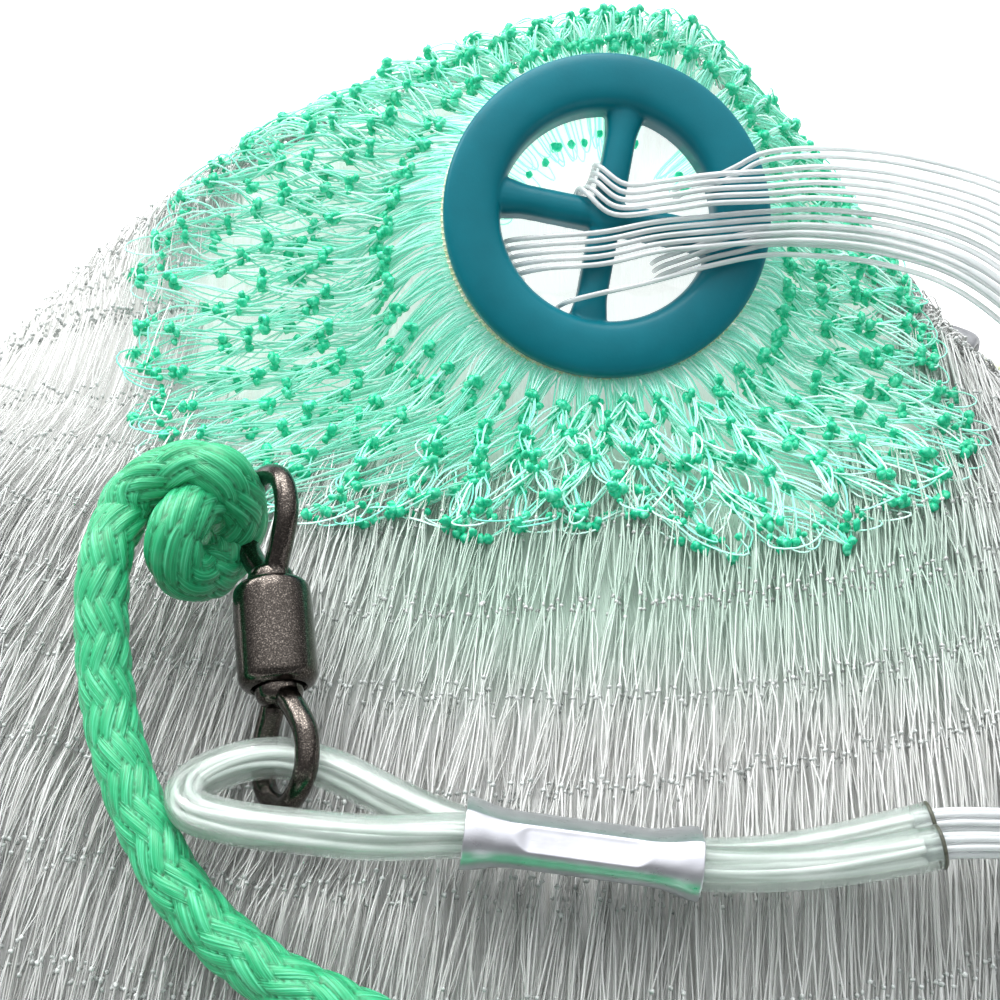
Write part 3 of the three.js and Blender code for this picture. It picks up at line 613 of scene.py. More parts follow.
COIL_ENTRY = (98, 107, 116, 125)        # degrees where the rope comes up to it from the floor
COIL_NEAR = 88          # degrees where it starts to close in
COIL_CHANGE = 40        # degrees over which a turn steps to the next place
COIL_TURNS = 19.2
COIL_ARC = 10           # degrees between points
FLOOR_LEVEL = 4.5       # height of the rope's middle on the floor
COIL_EXIT = [
    [30, 57, 46.9], [60, 66, 46], [80, 73.5, 40], [95, 79, 27], [108, 80.5, 13], [119, 78.5, 5.2],
]


def coil_place(turns):
    """Radius and height of the rope after this many turns: along a layer, then up, and back."""
    whole = int(turns)
    share = fade((turns - whole) * 360, 360 - COIL_CHANGE, 360)
    spots = []
    for step in (whole, whole + 1):
        layer, column = divmod(step, COIL.columns)
        if layer % 2 == 0:
            column = COIL.columns - 1 - column
        spots.append((COIL.mean + (column - (COIL.columns - 1) / 2) * COIL.pitch,
                      COIL.z + layer * COIL.rise))
    return [a + (b - a) * share for a, b in zip(*spots)]


def coil_spot(degrees, radius, height):
    return polar(radius, math.radians(degrees), height) + [COIL.x, COIL.y, 0]


def rope_route():
    """The rope's middle: hand line, coil, over the coil to the wrist loop."""
    points = list(HAND_LINE_ROUTE)
    outer, height = coil_place(0)
    for degrees in COIL_ENTRY:
        share = fade(degrees, COIL_NEAR, COIL_START)
        radius = outer + ROPE.r * 2.12 * (1 - share)
        points.append(coil_spot(degrees, radius, FLOOR_LEVEL + (height - FLOOR_LEVEL) * share))
    for step in range(int(COIL_TURNS * 360 / COIL_ARC) + 1):
        turns = step * COIL_ARC / 360
        points.append(coil_spot(COIL_START + 360 * turns, *coil_place(turns)))
    leave = COIL_START + 360 * COIL_TURNS
    points += [coil_spot(leave + degrees, radius, height) for degrees, radius, height in COIL_EXIT]
    return points + list(WRIST_ROUTE)


def braid(turn, along):
    """A two-over, two-under braid at a turn and a distance along the rope: how high the ribbon
    on top stands there, from 0 to 1, which way it runs, and its two counts."""
    left = ROPE.carriers * turn / (2 * np.pi) - along / ROPE.pitch
    right = ROPE.carriers * turn / (2 * np.pi) + along / ROPE.pitch
    over = (np.floor(left) - np.floor(right)) % 4 < 2
    own, other = np.where(over, left, right), np.where(over, right, left)
    across = own - np.floor(own)
    start = np.floor(own) + np.where(over, -1, 2)
    run = ((other - start) % 4) / 2
    crown = np.sqrt(np.clip(1 - (2 * across - 1) ** 2, 0, 1))
    height = crown * (0.35 + 0.65 * np.sqrt(np.clip(np.sin(np.pi * np.clip(run, 0, 1)), 0, 1)))
    return height, over, left, right


def braided(line, radius):
    """A braided tube with the corners' heights and, for the fibres, a map across and along its ribbons."""
    sides = ROPE.sides
    along = distances(line)[:, None]
    height = braid(circle(sides)[None], along)[0]
    shape = tube(line, np.asarray(radius, float) - 0.5, sides, lift=ROPE.ribbon * height)
    rows, columns = np.meshgrid(np.arange(len(line) - 1), np.arange(sides), indexing="ij")
    far = along[:, 0]
    middle = braid(2 * np.pi * (columns + 0.5) / sides, (far[rows] + far[rows + 1]) / 2)[1].ravel()
    corners = []
    for step, column in ((0, 0), (0, 1), (1, 1), (1, 0)):
        at = far[rows + step].ravel()
        _, _, left, right = braid(2 * np.pi * (columns + column).ravel() / sides, at)
        corners.append(np.stack([np.where(middle, left, right), at / ROPE.pitch], axis=-1))
    uv = np.stack(corners, axis=1).reshape(-1, 2)
    caps = np.zeros((2 * sides * 3, 2))
    # The ribbons' heights go out as the crest mark, which drives the painted shade between the ribbons.
    crest = np.concatenate([height.ravel(), [0, 0]])
    return shape, np.vstack([uv, caps]), crest


def make_rope():
    route = rope_route()
    line = curve_through(route, 8)
    shown = len(HAND_LINE_ROUTE) * 8 + 1
    near, far = respaced(line[:shown], 0.5), respaced(line[shown - 1:], 2.7)
    line = np.vstack([near, far[1:]])
    shape, uv, crest = braided(line, ROPE.r)
    rope = add_piece("hand_line_rope", shape, rope_green(), "green_rope", uv=uv, marks={"crest": crest},
                     replaces=("hand_line", "hand_line_coil", "wrist_loop"))
    return rope, line


def make_rope_knot():
    line = respaced(curve_through(KNOT_ROUTE, 12), 0.4)
    swell = ROPE.r + 0.35 * np.sin(np.linspace(0, np.pi, len(line)))
    shape, uv, crest = braided(line, swell)
    add_piece("hand_line_hitch", shape, bpy.data.materials["rope_green"], "green_rope", uv=uv,
              marks={"crest": crest}, replaces=("hand_line_knot",))


SLIP = Sizes(x=86.1, y=-286, z=7.3, half=7, leg=5.1, ring=5.72, cord=1.35, turns=5)


def make_slip_knot():
    turn = np.linspace(0, 2 * np.pi * SLIP.turns, SLIP.turns * 48)
    wave = SLIP.leg * np.clip(np.cos(turn) * 2.0, -1, 1)
    line = np.column_stack([
        SLIP.x + wave + SLIP.ring * np.cos(turn),
        SLIP.y + (turn / turn[-1] - 0.5) * 2 * (SLIP.half - SLIP.cord),
        SLIP.z + SLIP.ring * np.sin(turn),
    ])
    line = respaced(line, 0.8)
    twist = 0.14 * np.cos(3 * (circle(18) - distances(line)[:, None] / 2.2))
    shape = tube(line, SLIP.cord - 0.12, 18, lift=twist)
    # The crest mark is low in the grooves between the strands, where the rope paint puts its painted shade.
    crest = np.concatenate([(twist / 0.28 + 0.5).ravel(), [0, 0]])
    sizes = sum(f.size for f in shape[1])
    return add_piece("wrist_slip_wrap", shape, bpy.data.materials["rope_green"], "green_rope", "slip_knot",
                     ("wrist_slip_knot",), np.zeros((sizes, 2)), {"crest": crest})


def make_tie():
    """A hook-and-loop strap round the coil, as one closed band."""
    half = (COIL.columns - 1) * COIL.pitch / 2 + ROPE.r + 1.4
    low, high = 0.9, COIL.z + (COIL.layers - 1) * COIL.rise + ROPE.r + 1.2
    outline = rounded([[half, low], [half, high], [-half, high], [-half, low]])
    outline = rounded(outline)
    across = outline[:, 0] + COIL.x - COIL.mean
    line = np.column_stack([across, np.full(len(outline), COIL.y), outline[:, 1]])
    centre = line.mean(axis=0)
    section = rounded([[0.6, 6], [-0.6, 6], [-0.6, -6], [0.6, -6]])
    ahead = unit(np.roll(line, -1, axis=0) - np.roll(line, 1, axis=0))
    out = unit(np.cross(ahead, [0, 1, 0]))
    out *= np.sign(np.sum(out * (line - centre), axis=1))[:, None]
    corners = line[:, None] + section[:, :1] * out[:, None] + section[:, 1:] * [0, 1, 0]
    shape = (corners.reshape(-1, 3), [grid_faces(len(line), len(section), closed_rows=True)])
    return add_piece("coil_tie_strap", shape, tie_webbing(), "tie_strap", replaces=("coil_tie",))


# ---- horn frame and the heap's surface ----
HORN_FRAME = moved(*HORN.at) @ turn_about("Z", HORN.yaw) @ turn_about("X", HORN.tilt)
HORN_AXIS = HORN_FRAME[:3, 2]


def horn_spot(points):
    return np.asarray(points, float) @ HORN_FRAME[:3, :3].T + HORN_FRAME[:3, 3]


def horn_local(points):
    return (points - HORN_FRAME[:3, 3]) @ HORN_FRAME[:3, :3]


def heap_height(x, y):
    reach = np.hypot(x / HEAP.rx, y / HEAP.ry)
    inside = fade(reach, 1, 1 - HEAP.hole)
    shelf = SHELF.top + SHELF.slope * np.minimum(y, 0)
    ridge = (RIDGE.top - RIDGE.left * np.maximum(0, RIDGE.x - x)
             - RIDGE.right * np.maximum(0, x - RIDGE.shoulder))
    climb = fade(y, RIDGE.foot, RIDGE.head)
    full = shelf + np.maximum(0, ridge - shelf) * climb
    return HEAP.hem + (full - HEAP.hem) * inside


# ---- sleeve, its lines and the crimp ----
SLEEVE_ROUTE = [
    [62.6, -69.4, 51], [56, -70.3, 49.6], [48.3, -71.6, 48.4], [38, -73, 47.6],
    [28, -73.6, 48], [19.6, -72.9, 48.9], [11.2, -72.2, 49.8], [2.8, -71.5, 50.7],
    [-5.6, -70.7, 51.5], [-15, -66.6, 52.3], [-25.5, -60.9, 52.9], [-34, -58.4, 52.6],
    [-41, -60.2, 52.8], [-45.6, -65, 54], [-44.6, -70.8, 56], [-38, -74.6, 57.6],
    [-28, -76.8, 58.4], [-16.8, -77.4, 57.8], [-5.4, -75.8, 56.2], [2.8, -76.6, 55.4],
    [11.2, -77.3, 54.5], [19.6, -78, 53.6], [28, -78.7, 52.7], [38, -78.4, 52],
    [47, -77.4, 51.8], [55, -76.4, 52.4], [62.2, -75.6, 53.4],
]
# The brailles' bunches across the horn, in its own directions. Each row is a station with the
# x, y and z of its lines, as one number or one for each line.
BRAILLE_BUNCHES = [
    [[(-1.4, -2, -2.8, -3.8, -5.2), (8.8, 7.4, 6.2, 5, 4.6), -12],
     [(-1.5, -2, -2.8, -3.9, -5.2), (9.6, 8.2, 6.9, 5.8, 5.3), -3],
     [(-1.3, -1.6, -2.1, -3.1, -4.6), (9.3, 7.8, 6.4, 5.1, 4.9), 2],
     [(3.2, 2.6, 2, 1.2, 0.2), (4.7, 3.3, 1.9, 0.5, -0.8), 4.6],
     [10, (4.2, 2.8, 1.4, 0, -1.4), (7, 7, 7.1, 7.2, 7.3)],
     [18, (4.4, 3, 1.6, 0.2, -1.2), (9, 9.2, 9.4, 9.6, 9.8)],
     [28, (4, 2.6, 1.2, -0.2, -1.6), 11]],
    [[(-17.6, -17.2, -16.8, -16.2, -15.4), (-2.8, -4.3, -5.8, -7.3, -8.8), -12],
     [(-19.2, -18.8, -18.3, -17.7, -16.9), (-2.9, -4.5, -6.1, -7.7, -9.3), -4],
     [-12, (-3.7, -5.2, -6.7, -8.2, -9.7), 1.5], [-2, (-4.1, -5.6, -7.1, -8.6, -10.1), 4.2],
     [8, (-3.2, -4.6, -6, -7.4, -8.8), 6.2], [18, (-3.1, -4.5, -5.9, -7.3, -8.7), 8],
     [28, (-3, -4.4, -5.8, -7.2, -8.6), 9]],
    [[-9.5, -15.4, -12], [-10.2, -16.3, -3], [-8.6, -16.4, 2.4], [-4, -15.8, 4.2],
     [6, -14.2, 4.8], [18, -11.8, 5.6], [28, -10.7, 7]],
    [[(9, 9.3, 9.6), (-7.6, -9.1, -10.6), -12], [(10, 10.3, 10.6), (-8, -9.5, -11), -3],
     [14, (-7.6, -9.1, -10.6), 1], [17, (-7.1, -8.6, -10.1), (3, 3, 2.8)],
     [20, (-6.8, -8.3, -9.8), (4.8, 4.8, 4.6)], [24, (-6.4, -7.9, -9.4), (6.2, 6.2, 6)],
     [28, (-6, -7.4, -8.8), 7]],
    [[14, (6.1, 4.6), -12], [15.4, (5.9, 4.4), -3], [17.2, (5.6, 4.1), 0.4], [19.2, (5.4, 3.9), 3],
     [21.5, (5.6, 4.1), 5.6], [24, (6.2, 4.7), 8], [28, (7.5, 6.1), 10.5]],
]
SLOTS = [
    (-1, 0), (-1, None), (-1, 51), (-1, -154), (-1, 103), (1, -51), (1, 0), (1, None), (1, 51),
    (1, 103), (1, 154), (-1, 154), (1, -103), (1, -154), (-1, -51), (-1, -103),
]
BUNDLE = [
    ((58.6, 42.5, 94.5), 0, 1.05), ((73.6, 36.7, 95.5), 0, 1.05), ((89, 24.5, 95), 0.05, 1.1),
    ((107, 8, 82), 0.25, 1.15), ((119.5, -13, 65.5), 0.45, 1.2), ((122.5, -35, 52.5), 0.65, 1.2),
    ((114, -54, 47.5), 0.85, 1), ((97, -67, 48.8), 0.95, 1), ((77, -72.0, 52.0), 1, 1),
    ((65.5, -72.5, 52.6), 1, 1),
]
RIM_MIDDLE = Sizes(up=8, out=5)
MOUTH = Sizes(out=3.05, up=-1.05, ring=1.45, deep=2.6)


def upright(along):
    """The up and sideways directions square to a direction."""
    up = unit(UP - along * along[2])
    return up, np.cross(along, up)


def braille_rows():
    """Each braille's stations across the horn."""
    rows = []
    for bunch in BRAILLE_BUNCHES:
        count = max(np.size(value) for station in bunch for value in station)
        rows += list(np.array([[np.broadcast_to(value, count) for value in station]
                               for station in bunch], float).transpose(2, 0, 1))
    return rows


def braille_route(row, slot):
    leg, turn = slot
    _, y, z = row[-1]
    diagonal = math.sqrt(0.5)
    start = diagonal * (y + z) - RIM_MIDDLE.up, diagonal * (z - y) - RIM_MIDDLE.out
    ring, angle = (0, 0) if turn is None else (MOUTH.ring, math.radians(turn))
    lift, aside = ring * math.cos(angle), ring * math.sin(angle)
    end = leg * MOUTH.up + lift, leg * MOUTH.out + aside
    points = list(horn_spot(row))
    stations = np.array([at for at, _, _ in BUNDLE], float)
    for i, (at, closed, spread) in enumerate(BUNDLE):
        along = unit(stations[min(len(BUNDLE) - 1, i + 1)] - stations[max(0, i - 1)])
        up, out = upright(along)
        rise, side = (s * spread * (1 - closed) + e * closed for s, e in zip(start, end))
        points.append(np.array(at) + up * rise + out * side)
    mouth, inner = (np.array(SLEEVE_ROUTE[i], float) for i in ((0, 1) if leg > 0 else (-1, -2)))
    inward = unit(inner - mouth)
    up, out = upright(inward)
    packed = mouth + up * lift + out * aside
    return points + [packed, packed + inward * MOUTH.deep]


def make_brailles():
    paint = simple_paint("braille_clear")
    for number, (row, slot) in enumerate(zip(braille_rows(), SLOTS), 1):
        line = respaced(curve_through(braille_route(row, slot), 10), 1.2)
        piece = add_piece(f"braille_line_{number:02}", tube(line, LINE_R, 10), paint, "clear_line",
                          replaces=(f"braille_{number:02}",))
        metres(line[0])
        float(distances(line)[-1] * MM)
        metres(line)


INNER = Sizes(count=7, ring=1.75, sway=0.9, wave=31, step=1.3, r=0.52)


def make_sleeve():
    """The tubing, the dark rims where it's cut, and the brailles' lines inside it, which keep
    the frame's own plain clear_line material."""
    line = respaced(curve_through(SLEEVE_ROUTE, 10), 0.8)
    shell, bore = (tube(line, wall, 36, capped=False)[0] for wall in (SLEEVE.outer, SLEEVE.bore))
    add_piece("chafe_tubing", walled(shell, bore, 36), simple_paint("clear_tubing"), "clear_sleeve",
              replaces=("chafe_sleeve",))
    _, side, up = frames_along(line)
    middle, turn = (SLEEVE.outer + SLEEVE.bore) / 2, circle(48)[:, None]
    rims = [line[end] + middle * (np.cos(turn) * side[end] + np.sin(turn) * up[end]) for end in (0, -1)]
    cut_ends = joined([tube(rim, 0.33, 10, closed=True) for rim in rims])
    add_piece("tubing_cut_ends", cut_ends, simple_paint("cut_edge"), "clear_sleeve")
    far = distances(line)[:, None]
    inner = []
    for place in range(INNER.count + 1):
        ring = INNER.ring if place < INNER.count else 0
        turn = 2 * np.pi * place / INNER.count + INNER.sway * np.sin(
            far / INNER.wave + place * INNER.step)
        wander = line + ring * (np.cos(turn) * side + np.sin(turn) * up)
        inner.append(tube(wander[3:-3], INNER.r, 8))
    add_piece("braille_bight_lines", joined(inner), bpy.data.materials["clear_line"], "clear_line",
              replaces=("braille_bight",))


CRIMP_AXIS = unit(np.array([33.5, -2.9, -3.5]))


def crimp_frame():
    across = np.array([0, 0.735, -0.678])
    across = unit(across - CRIMP_AXIS * (across @ CRIMP_AXIS))
    matrix = np.eye(4)
    matrix[:3, 0], matrix[:3, 1], matrix[:3, 2] = across, np.cross(CRIMP_AXIS, across), CRIMP_AXIS
    matrix[:3, 3] = CRIMP.at
    return matrix


CRIMP_GRID = (120, 128)         # rings along it and corners round it
BELL = Sizes(start=0.55, end=0.97, waist=0.16, flare=0.5, lip=0.72)
BITE = Sizes(start=0.44, end=0.60, pressed=0.12, dish=0.08, edge=0.3)


def crimp_wall(radius, length, deep):
    """The oval wall along the crimp: belled ends, a pressed waist and a flat where each jaw bit."""
    steps, count = CRIMP_GRID
    t = np.linspace(-1, 1, steps)[:, None]
    turn = circle(count)[None]
    bell = fade(np.abs(t), BELL.start, BELL.end)
    reach = (radius * (1 - BELL.waist * (1 - bell) * deep)
             + BELL.flare * deep * fade(np.abs(t), BELL.lip, 1))
    x = CRIMP.leg * np.clip(np.cos(turn) * 1.8, -1, 1) + reach * np.cos(turn)
    y = reach * np.sin(turn)
    bite = deep * fade(np.abs(t), BITE.end, BITE.start)
    tilt = math.radians(CRIMP.tilt)
    for side in (-1, 1):
        jaw = side * np.array([math.cos(tilt), -math.sin(tilt)])
        limit = CRIMP.leg * math.cos(tilt) + reach * (1 - BITE.pressed * bite)
        over = np.maximum(0, x * jaw[0] + y * jaw[1] - limit)
        dish = over + BITE.dish * bite * smooth(over / BITE.edge)
        x, y = x - dish * jaw[0], y - dish * jaw[1]
    z = np.repeat(t * length / 2, count, axis=1)
    return np.stack([x, y, z], axis=-1).reshape(-1, 3)


def make_crimp():
    outer = crimp_wall(CRIMP.outer, CRIMP.length, 1.0)
    inner = crimp_wall(CRIMP.inner, CRIMP.length, 0.7)
    shape = placed(walled(outer, inner, CRIMP_GRID[1]), crimp_frame())
    piece = add_piece("crimp_ferrule", shape, simple_paint("aluminium"), "crimp_metal",
                      replaces=("crimp_sleeve",))
    finished(piece, ("BEVEL", {"width": 0.0001, "segments": 2, "limit_method": "ANGLE"}))


# ---- swivel ----
EYE_OUTLINE = [[2.0, 8.2], [2.3, 10.6], [5.0, 14.0], [7.5, 18.6], [6.3, 24.0]]
EYE = Sizes(wire=1.9, stem=3.75)


def swivel_frame():
    up = unit(np.array([-0.129, 0.893, 0.431]))
    right = unit(np.array([1.0, 0, 0]) - up * up[0])
    matrix = np.eye(4)
    matrix[:3, 0], matrix[:3, 1], matrix[:3, 2] = right, np.cross(up, right), up
    matrix[:3, 3] = (-35.1, -41.3, 61.5)
    return matrix


def eye_shape(length):
    stretch = length / 27.1
    right = [[side, 0, far * stretch] for side, far in EYE_OUTLINE]
    left = [[-side, 0, far * stretch] for side, far in EYE_OUTLINE[::-1]]
    line = respaced(curve_through([*right, [0, 0, length], *left], 12), 0.5)
    share = np.linspace(0, 1, len(line))
    thick = EYE.wire * (1 - 0.12 * np.exp(-((share - 0.5) / 0.16) ** 2))
    stem = turned(rounded([[0.01, 5.7], [4.9, 5.7], [4.9, 7.1], [EYE.stem, 7.2], [EYE.stem, 10.2],
                           [2.2, 11.6], [0.01, 11.8]], closed=False), 40)
    return joined([tube(line, thick, 28), stem])


def make_swivel():
    place, paint = swivel_frame(), gunmetal()
    r, half, hole, soft = BARREL.r, BARREL.half, BARREL.hole, BARREL.round
    profile = [
        [hole, half - 1.1], [5.3, half - 1.15], [5.3, -half + 1.15], [hole, -half + 1.1],
        [hole, -half + 0.5], [hole + 0.35, -half + 0.1], [r - soft, -half], [r - soft * 0.45, -half + 0.35],
        [r - 0.25, -half + soft * 0.6], [r, -half + soft], [r + 0.02, 0], [r, half - soft],
        [r - soft * 0.3, half - soft * 0.35], [r - soft, half], [hole + 0.4, half], [hole, half - 0.4],
    ]
    barrel = turned(rounded(profile), 96, closed=True)
    upper = place @ turn_about("Z", -58)
    lower = place @ turn_about("Z", -57) @ turn_about("X", 180)
    for name, shape, matrix, body, node in (
            ("swivel_barrel_shell", barrel, place, "barrel", "swivel_barrel"),
            ("swivel_upper_eye", eye_shape(27.1), upper, "root", "swivel_eye_upper"),
            ("swivel_lower_eye", eye_shape(26.6), lower, "lower_eye", "swivel_eye_lower")):
        add_piece(name, placed(shape, matrix), paint, "swivel_metal", body, (node,))


# ---- horn ----
SPOKE = Sizes(half=2.85, back=3.5, crown=2.2)
LASHING = Sizes(radius=30.7, level=-1.75, cord=0.62, turns=170, wrap=0.22)


def horn_ring():
    outer, inner, back = HORN.outer, HORN.inner, HORN.back
    face = [[outer, 0.6], [outer + 0.05, 1.9], [outer - 0.25, 2.75], [outer - 1.0, 3.25], [28.0, 3.75],
            [25.6, 3.95], [23.2, 3.8], [21.7, 3.3], [20.8, 2.4], [inner + 0.1, 1.2], [inner, 0.2]]
    crest = curve_through([[r, 0, z] for r, z in face], 4)[:, [0, 2]]
    profile = np.vstack([
        [[inner, -back + 1], [inner + 1, -back], [30.2, -back], [30.2, -3.4], [28.2, -3.0],
         [28.2, -0.8], [outer, -0.5]], crest,
    ])
    return turned(profile, 144, closed=True)


def spoke_pair(degrees):
    """Two spokes in line, wider where they run into the ring, with a rounded front."""
    far = np.linspace(-21.5, 21.5, 60)
    flare = 1 + 0.28 * smooth((np.abs(far) - 15) / 6)
    section = [[-1, -SPOKE.back], [1, -SPOKE.back], [1, 0.1]]
    turn = np.linspace(0, np.pi, 11)[1:]
    section += [[math.cos(a), 0.1 + SPOKE.crown * math.sin(a)] for a in turn]
    section = np.array(section)
    x = section[None, :, 0] * SPOKE.half * flare[:, None]
    z = np.repeat(section[None, :, 1], len(far), axis=0)
    y = np.repeat(far[:, None], len(section), axis=1)
    corners = np.stack([x, y, z], axis=-1).reshape(-1, 3)
    count = len(section)
    first, last = np.arange(count)[None], (len(far) - 1) * count + np.arange(count)[None]
    faces = [grid_faces(len(far), count)[:, ::-1], first, last[:, ::-1]]
    return placed((corners, faces), turn_about("Z", degrees))


def make_horn():
    hub = turned([[0.01, -3.5], [3.6, -3.5], [3.6, 1.6], [3.2, 2.3], [2.2, 2.7], [0.01, 2.85]], 48)
    shape = joined([horn_ring(), spoke_pair(HORN.roll), spoke_pair(HORN.roll + 90), hub])
    shape = placed(shape, HORN_FRAME)
    piece = add_piece("horn_moulding", shape, simple_paint("horn_teal"), "horn_plastic", replaces=("horn",))
    finished(piece,
             ("REMESH", {"mode": "VOXEL", "voxel_size": 0.00032, "adaptivity": 0.0}),
             ("SMOOTH", {"factor": 0.5, "iterations": 2}))
    middle, level, cord = LASHING.radius, LASHING.level, LASHING.cord
    core = twisted_ring(middle, middle, level, cord, 0.1, (720, 90))
    wrap = np.linspace(0, 2 * np.pi, 6000)
    coils = middle + cord * np.cos(LASHING.turns * wrap)
    height = level + cord * np.sin(LASHING.turns * wrap)
    lashing = joined([core, tube(polar(coils, wrap, height), LASHING.wrap, 5)])
    add_piece("horn_lashing_cord", placed(lashing, HORN_FRAME), simple_paint("laid_cream"), "cream_cord",
              replaces=("horn_lashing",))


# ---- netting ----
def heap_place(u, v, h):
    """A spot on the heap: u round it, v from the ridge line down to the hem, h above the surface."""
    turn = 2 * np.pi * u
    x = ((1 - v) * NET.ridge_rx + v * NET.hem_rx) * np.cos(turn)
    y = (1 - v) * (NET.ridge_y + 0.3 * np.sin(turn)) + v * NET.hem_ry * np.sin(turn)
    near = np.hypot(x - DENT.x, y - DENT.y)
    z = heap_height(x, y) + h - DENT.deep * fade(near, DENT.reach, DENT.reach - DENT.edge)
    return np.stack([x, y, np.maximum(z, NET.least)], axis=-1)


def from_horn(points):
    """The direction and distance of points from the horn's middle, seen from above."""
    x, y = points[..., 0] - HORN.at[0], points[..., 1] - HORN.at[1]
    return np.arctan2(y, x), np.hypot(x, y)


def ruff_reach(turn):
    place = (turn / (2 * np.pi)) % 1 * len(RUFF_REACH)
    start = np.floor(place).astype(int)
    share = smooth(place - start)
    reach = np.array(RUFF_REACH, float)
    return reach[start % 12] * (1 - share) + reach[(start + 1) % 12] * share


ROOT = Sizes(radius=29.4, level=-2.6, stretch=0.35, climb=0.1)       # of the ruff, at the lashing


def ruff_place(u, v, h):
    """A spot on the ruff: u round the horn, v from its lashing out to the edge, h above the heap."""
    turn = 2 * np.pi * u
    root = horn_spot(polar(ROOT.radius, turn, ROOT.level))
    angle, near = from_horn(root)
    reach = near + (ruff_reach(angle) - near) * v
    x = HORN.at[0] + reach * np.cos(angle)
    y = HORN.at[1] + reach * np.sin(angle)
    share = smooth(v / ROOT.stretch)
    z = root[..., 2] + (reach - near) * HORN_AXIS[2] * ROOT.climb
    return np.stack([x, y, z * (1 - share) + (heap_height(x, y) + h) * share], axis=-1)


BUNCH = 5       # knots in a bunch
LAY = {         # how each netting lies, as net() says
    "body": {"pull": (0, 0.4), "drift": (0.45, 0.06, 0.10), "sag": (0.45, 0.6), "lean": 2.4, "steps": 4},
    "crown": {"pull": (0.65, 0.95), "drift": (0.18, 0.045, 0.06), "sag": (0.5, 1), "lean": 0, "steps": 7},
}
GAUGE = {       # radius of a strand and of a knot
    "body": (0.16, 0.42), "crown": (0.21, 1.0), "edge": (0.2, 0.7), "throat": (0.18, 0.9),
}


def gathered(rng, columns, rows, pull):
    """Where knots sit round a row when the mesh bunches up: groups close together, half a group
    over on every other row, so that each bunch splits in two at the next."""
    i = np.arange(columns)[None]
    phase = 0.5 * (np.arange(rows + 1)[:, None] % 2) + rng.normal(0, 0.07, (rows + 1, 1))
    cell = np.floor(i / BUNCH + phase)
    middle = (cell - phase + 0.5) * BUNCH
    strength = pull[0] + (pull[1] - pull[0]) * rng.random((rows + 1, int(columns / BUNCH) + 3))
    strength[0] = 0
    pulled = np.take_along_axis(strength, (cell + 1).astype(int), axis=1)
    return i + (middle - i) * pulled


def net(rng, place, columns, rows, rise, pull, drift, sag, lean, steps):
    """Bars and knots of netting pulled nearly closed, bunched and uneven, as real netting lies.
    Rise and pull are a low and a high; drift is how uneven the knots are round, along and in
    waves; sag is how far the bars bow, and lean the twist in columns for each row."""
    k = np.arange(rows + 1)[:, None]
    u = gathered(rng, columns, rows, pull) + 0.5 * (k % 2)
    u = u + rng.normal(0, drift[0], (rows + 1, columns))
    u = u - lean * (k + 0.6 * np.sin(2 * np.pi * u / columns * 7))
    wave = drift[2] * np.sin(2 * np.pi * (u / columns * 5 + rng.random((rows + 1, 1))))
    v = k + wave + rng.normal(0, drift[1], u.shape)
    v[0] = 0
    h = rise[0] + (rise[1] - rise[0]) * rng.random(u.shape)
    spots = np.stack([u / columns, np.clip(v / rows, 0, 1.02), h], axis=-1)
    first, second = spots[:-1], spots[1:]
    shifted = np.stack([
        np.roll(row, 1 if number % 2 == 0 else -1, axis=0) for number, row in enumerate(second)])
    shifted[..., 0] -= np.round(shifted[..., 0] - first[..., 0])
    ends = np.concatenate([np.stack([first, second], -2), np.stack([first, shifted], -2)]).reshape(-1, 2, 3)
    t = np.linspace(0, 1, steps)[None, :, None]
    lines = ends[:, :1] * (1 - t) + ends[:, 1:] * t
    bow = np.sin(np.pi * t)
    lines = lines + bow * rng.normal(0, 1, (len(lines), 1, 3)) * np.array([sag[0] / columns, 0, sag[1]])
    return place(*np.moveaxis(lines, -1, 0)), place(*np.moveaxis(spots, -1, 0)).reshape(-1, 3)


CLEAR = Sizes(radius=31.8, back=-5.0)      # round the horn, free of the body netting


def horn_cylinder(points):
    """How far points are from the horn's axis, and how far in front of its middle."""
    local = horn_local(points)
    return np.hypot(local[..., 0], local[..., 1]), local[..., 2]


def outside_horn(points):
    """True for points that aren't in the horn's seat or in front of its holes."""
    reach, front = horn_cylinder(points)
    return ~((reach < CLEAR.radius) & (front > CLEAR.back))


def ruff_part(points):
    """How far out points are from the horn's middle, as a part of the ruff's reach there."""
    angle, near = from_horn(points)
    return near / ruff_reach(angle)


def ruff_glow_share(points):
    """How much painted glow, and painted whitening of the green, the heap gets under the ruff: 1 under it,
    falling to 0 at its edge and towards its front, where it lies in shade.
    """
    return fade(ruff_part(points), 1.0, 0.85) * fade(points[..., 1], 2, 42)


def far_glow_share(points):
    """Painted glow on the heap's far left shoulder: 1 there, where it stands against the bright backdrop.
    """
    x, y = points[..., 0], points[..., 1]
    return fade(x, -30, -90) * fade(y, -10, 50) * fade(y, 80, 45)


def green_share(points):
    """How much green netting shows through the clear netting near the ruff's lower edge."""
    x, y = points[..., 0], points[..., 1]
    return 0.62 * fade(x, -42, -2) * fade(x, 95, 70) * fade(y, -52, -18) * fade(y, 60, 30)


FACE_LIMIT = 190000     # triangles in one piece


def in_parts(name, count, faces):
    """A name and a slice for each part of a list of equal shapes that has to be kept under the limit."""
    parts = 1 + count * faces // FACE_LIMIT
    cuts = np.linspace(0, count, parts + 1).astype(int)
    names = [name] if parts == 1 else [f"{name}_{part + 1}" for part in range(parts)]
    return zip(names, [slice(*ends) for ends in zip(cuts[:-1], cuts[1:])])


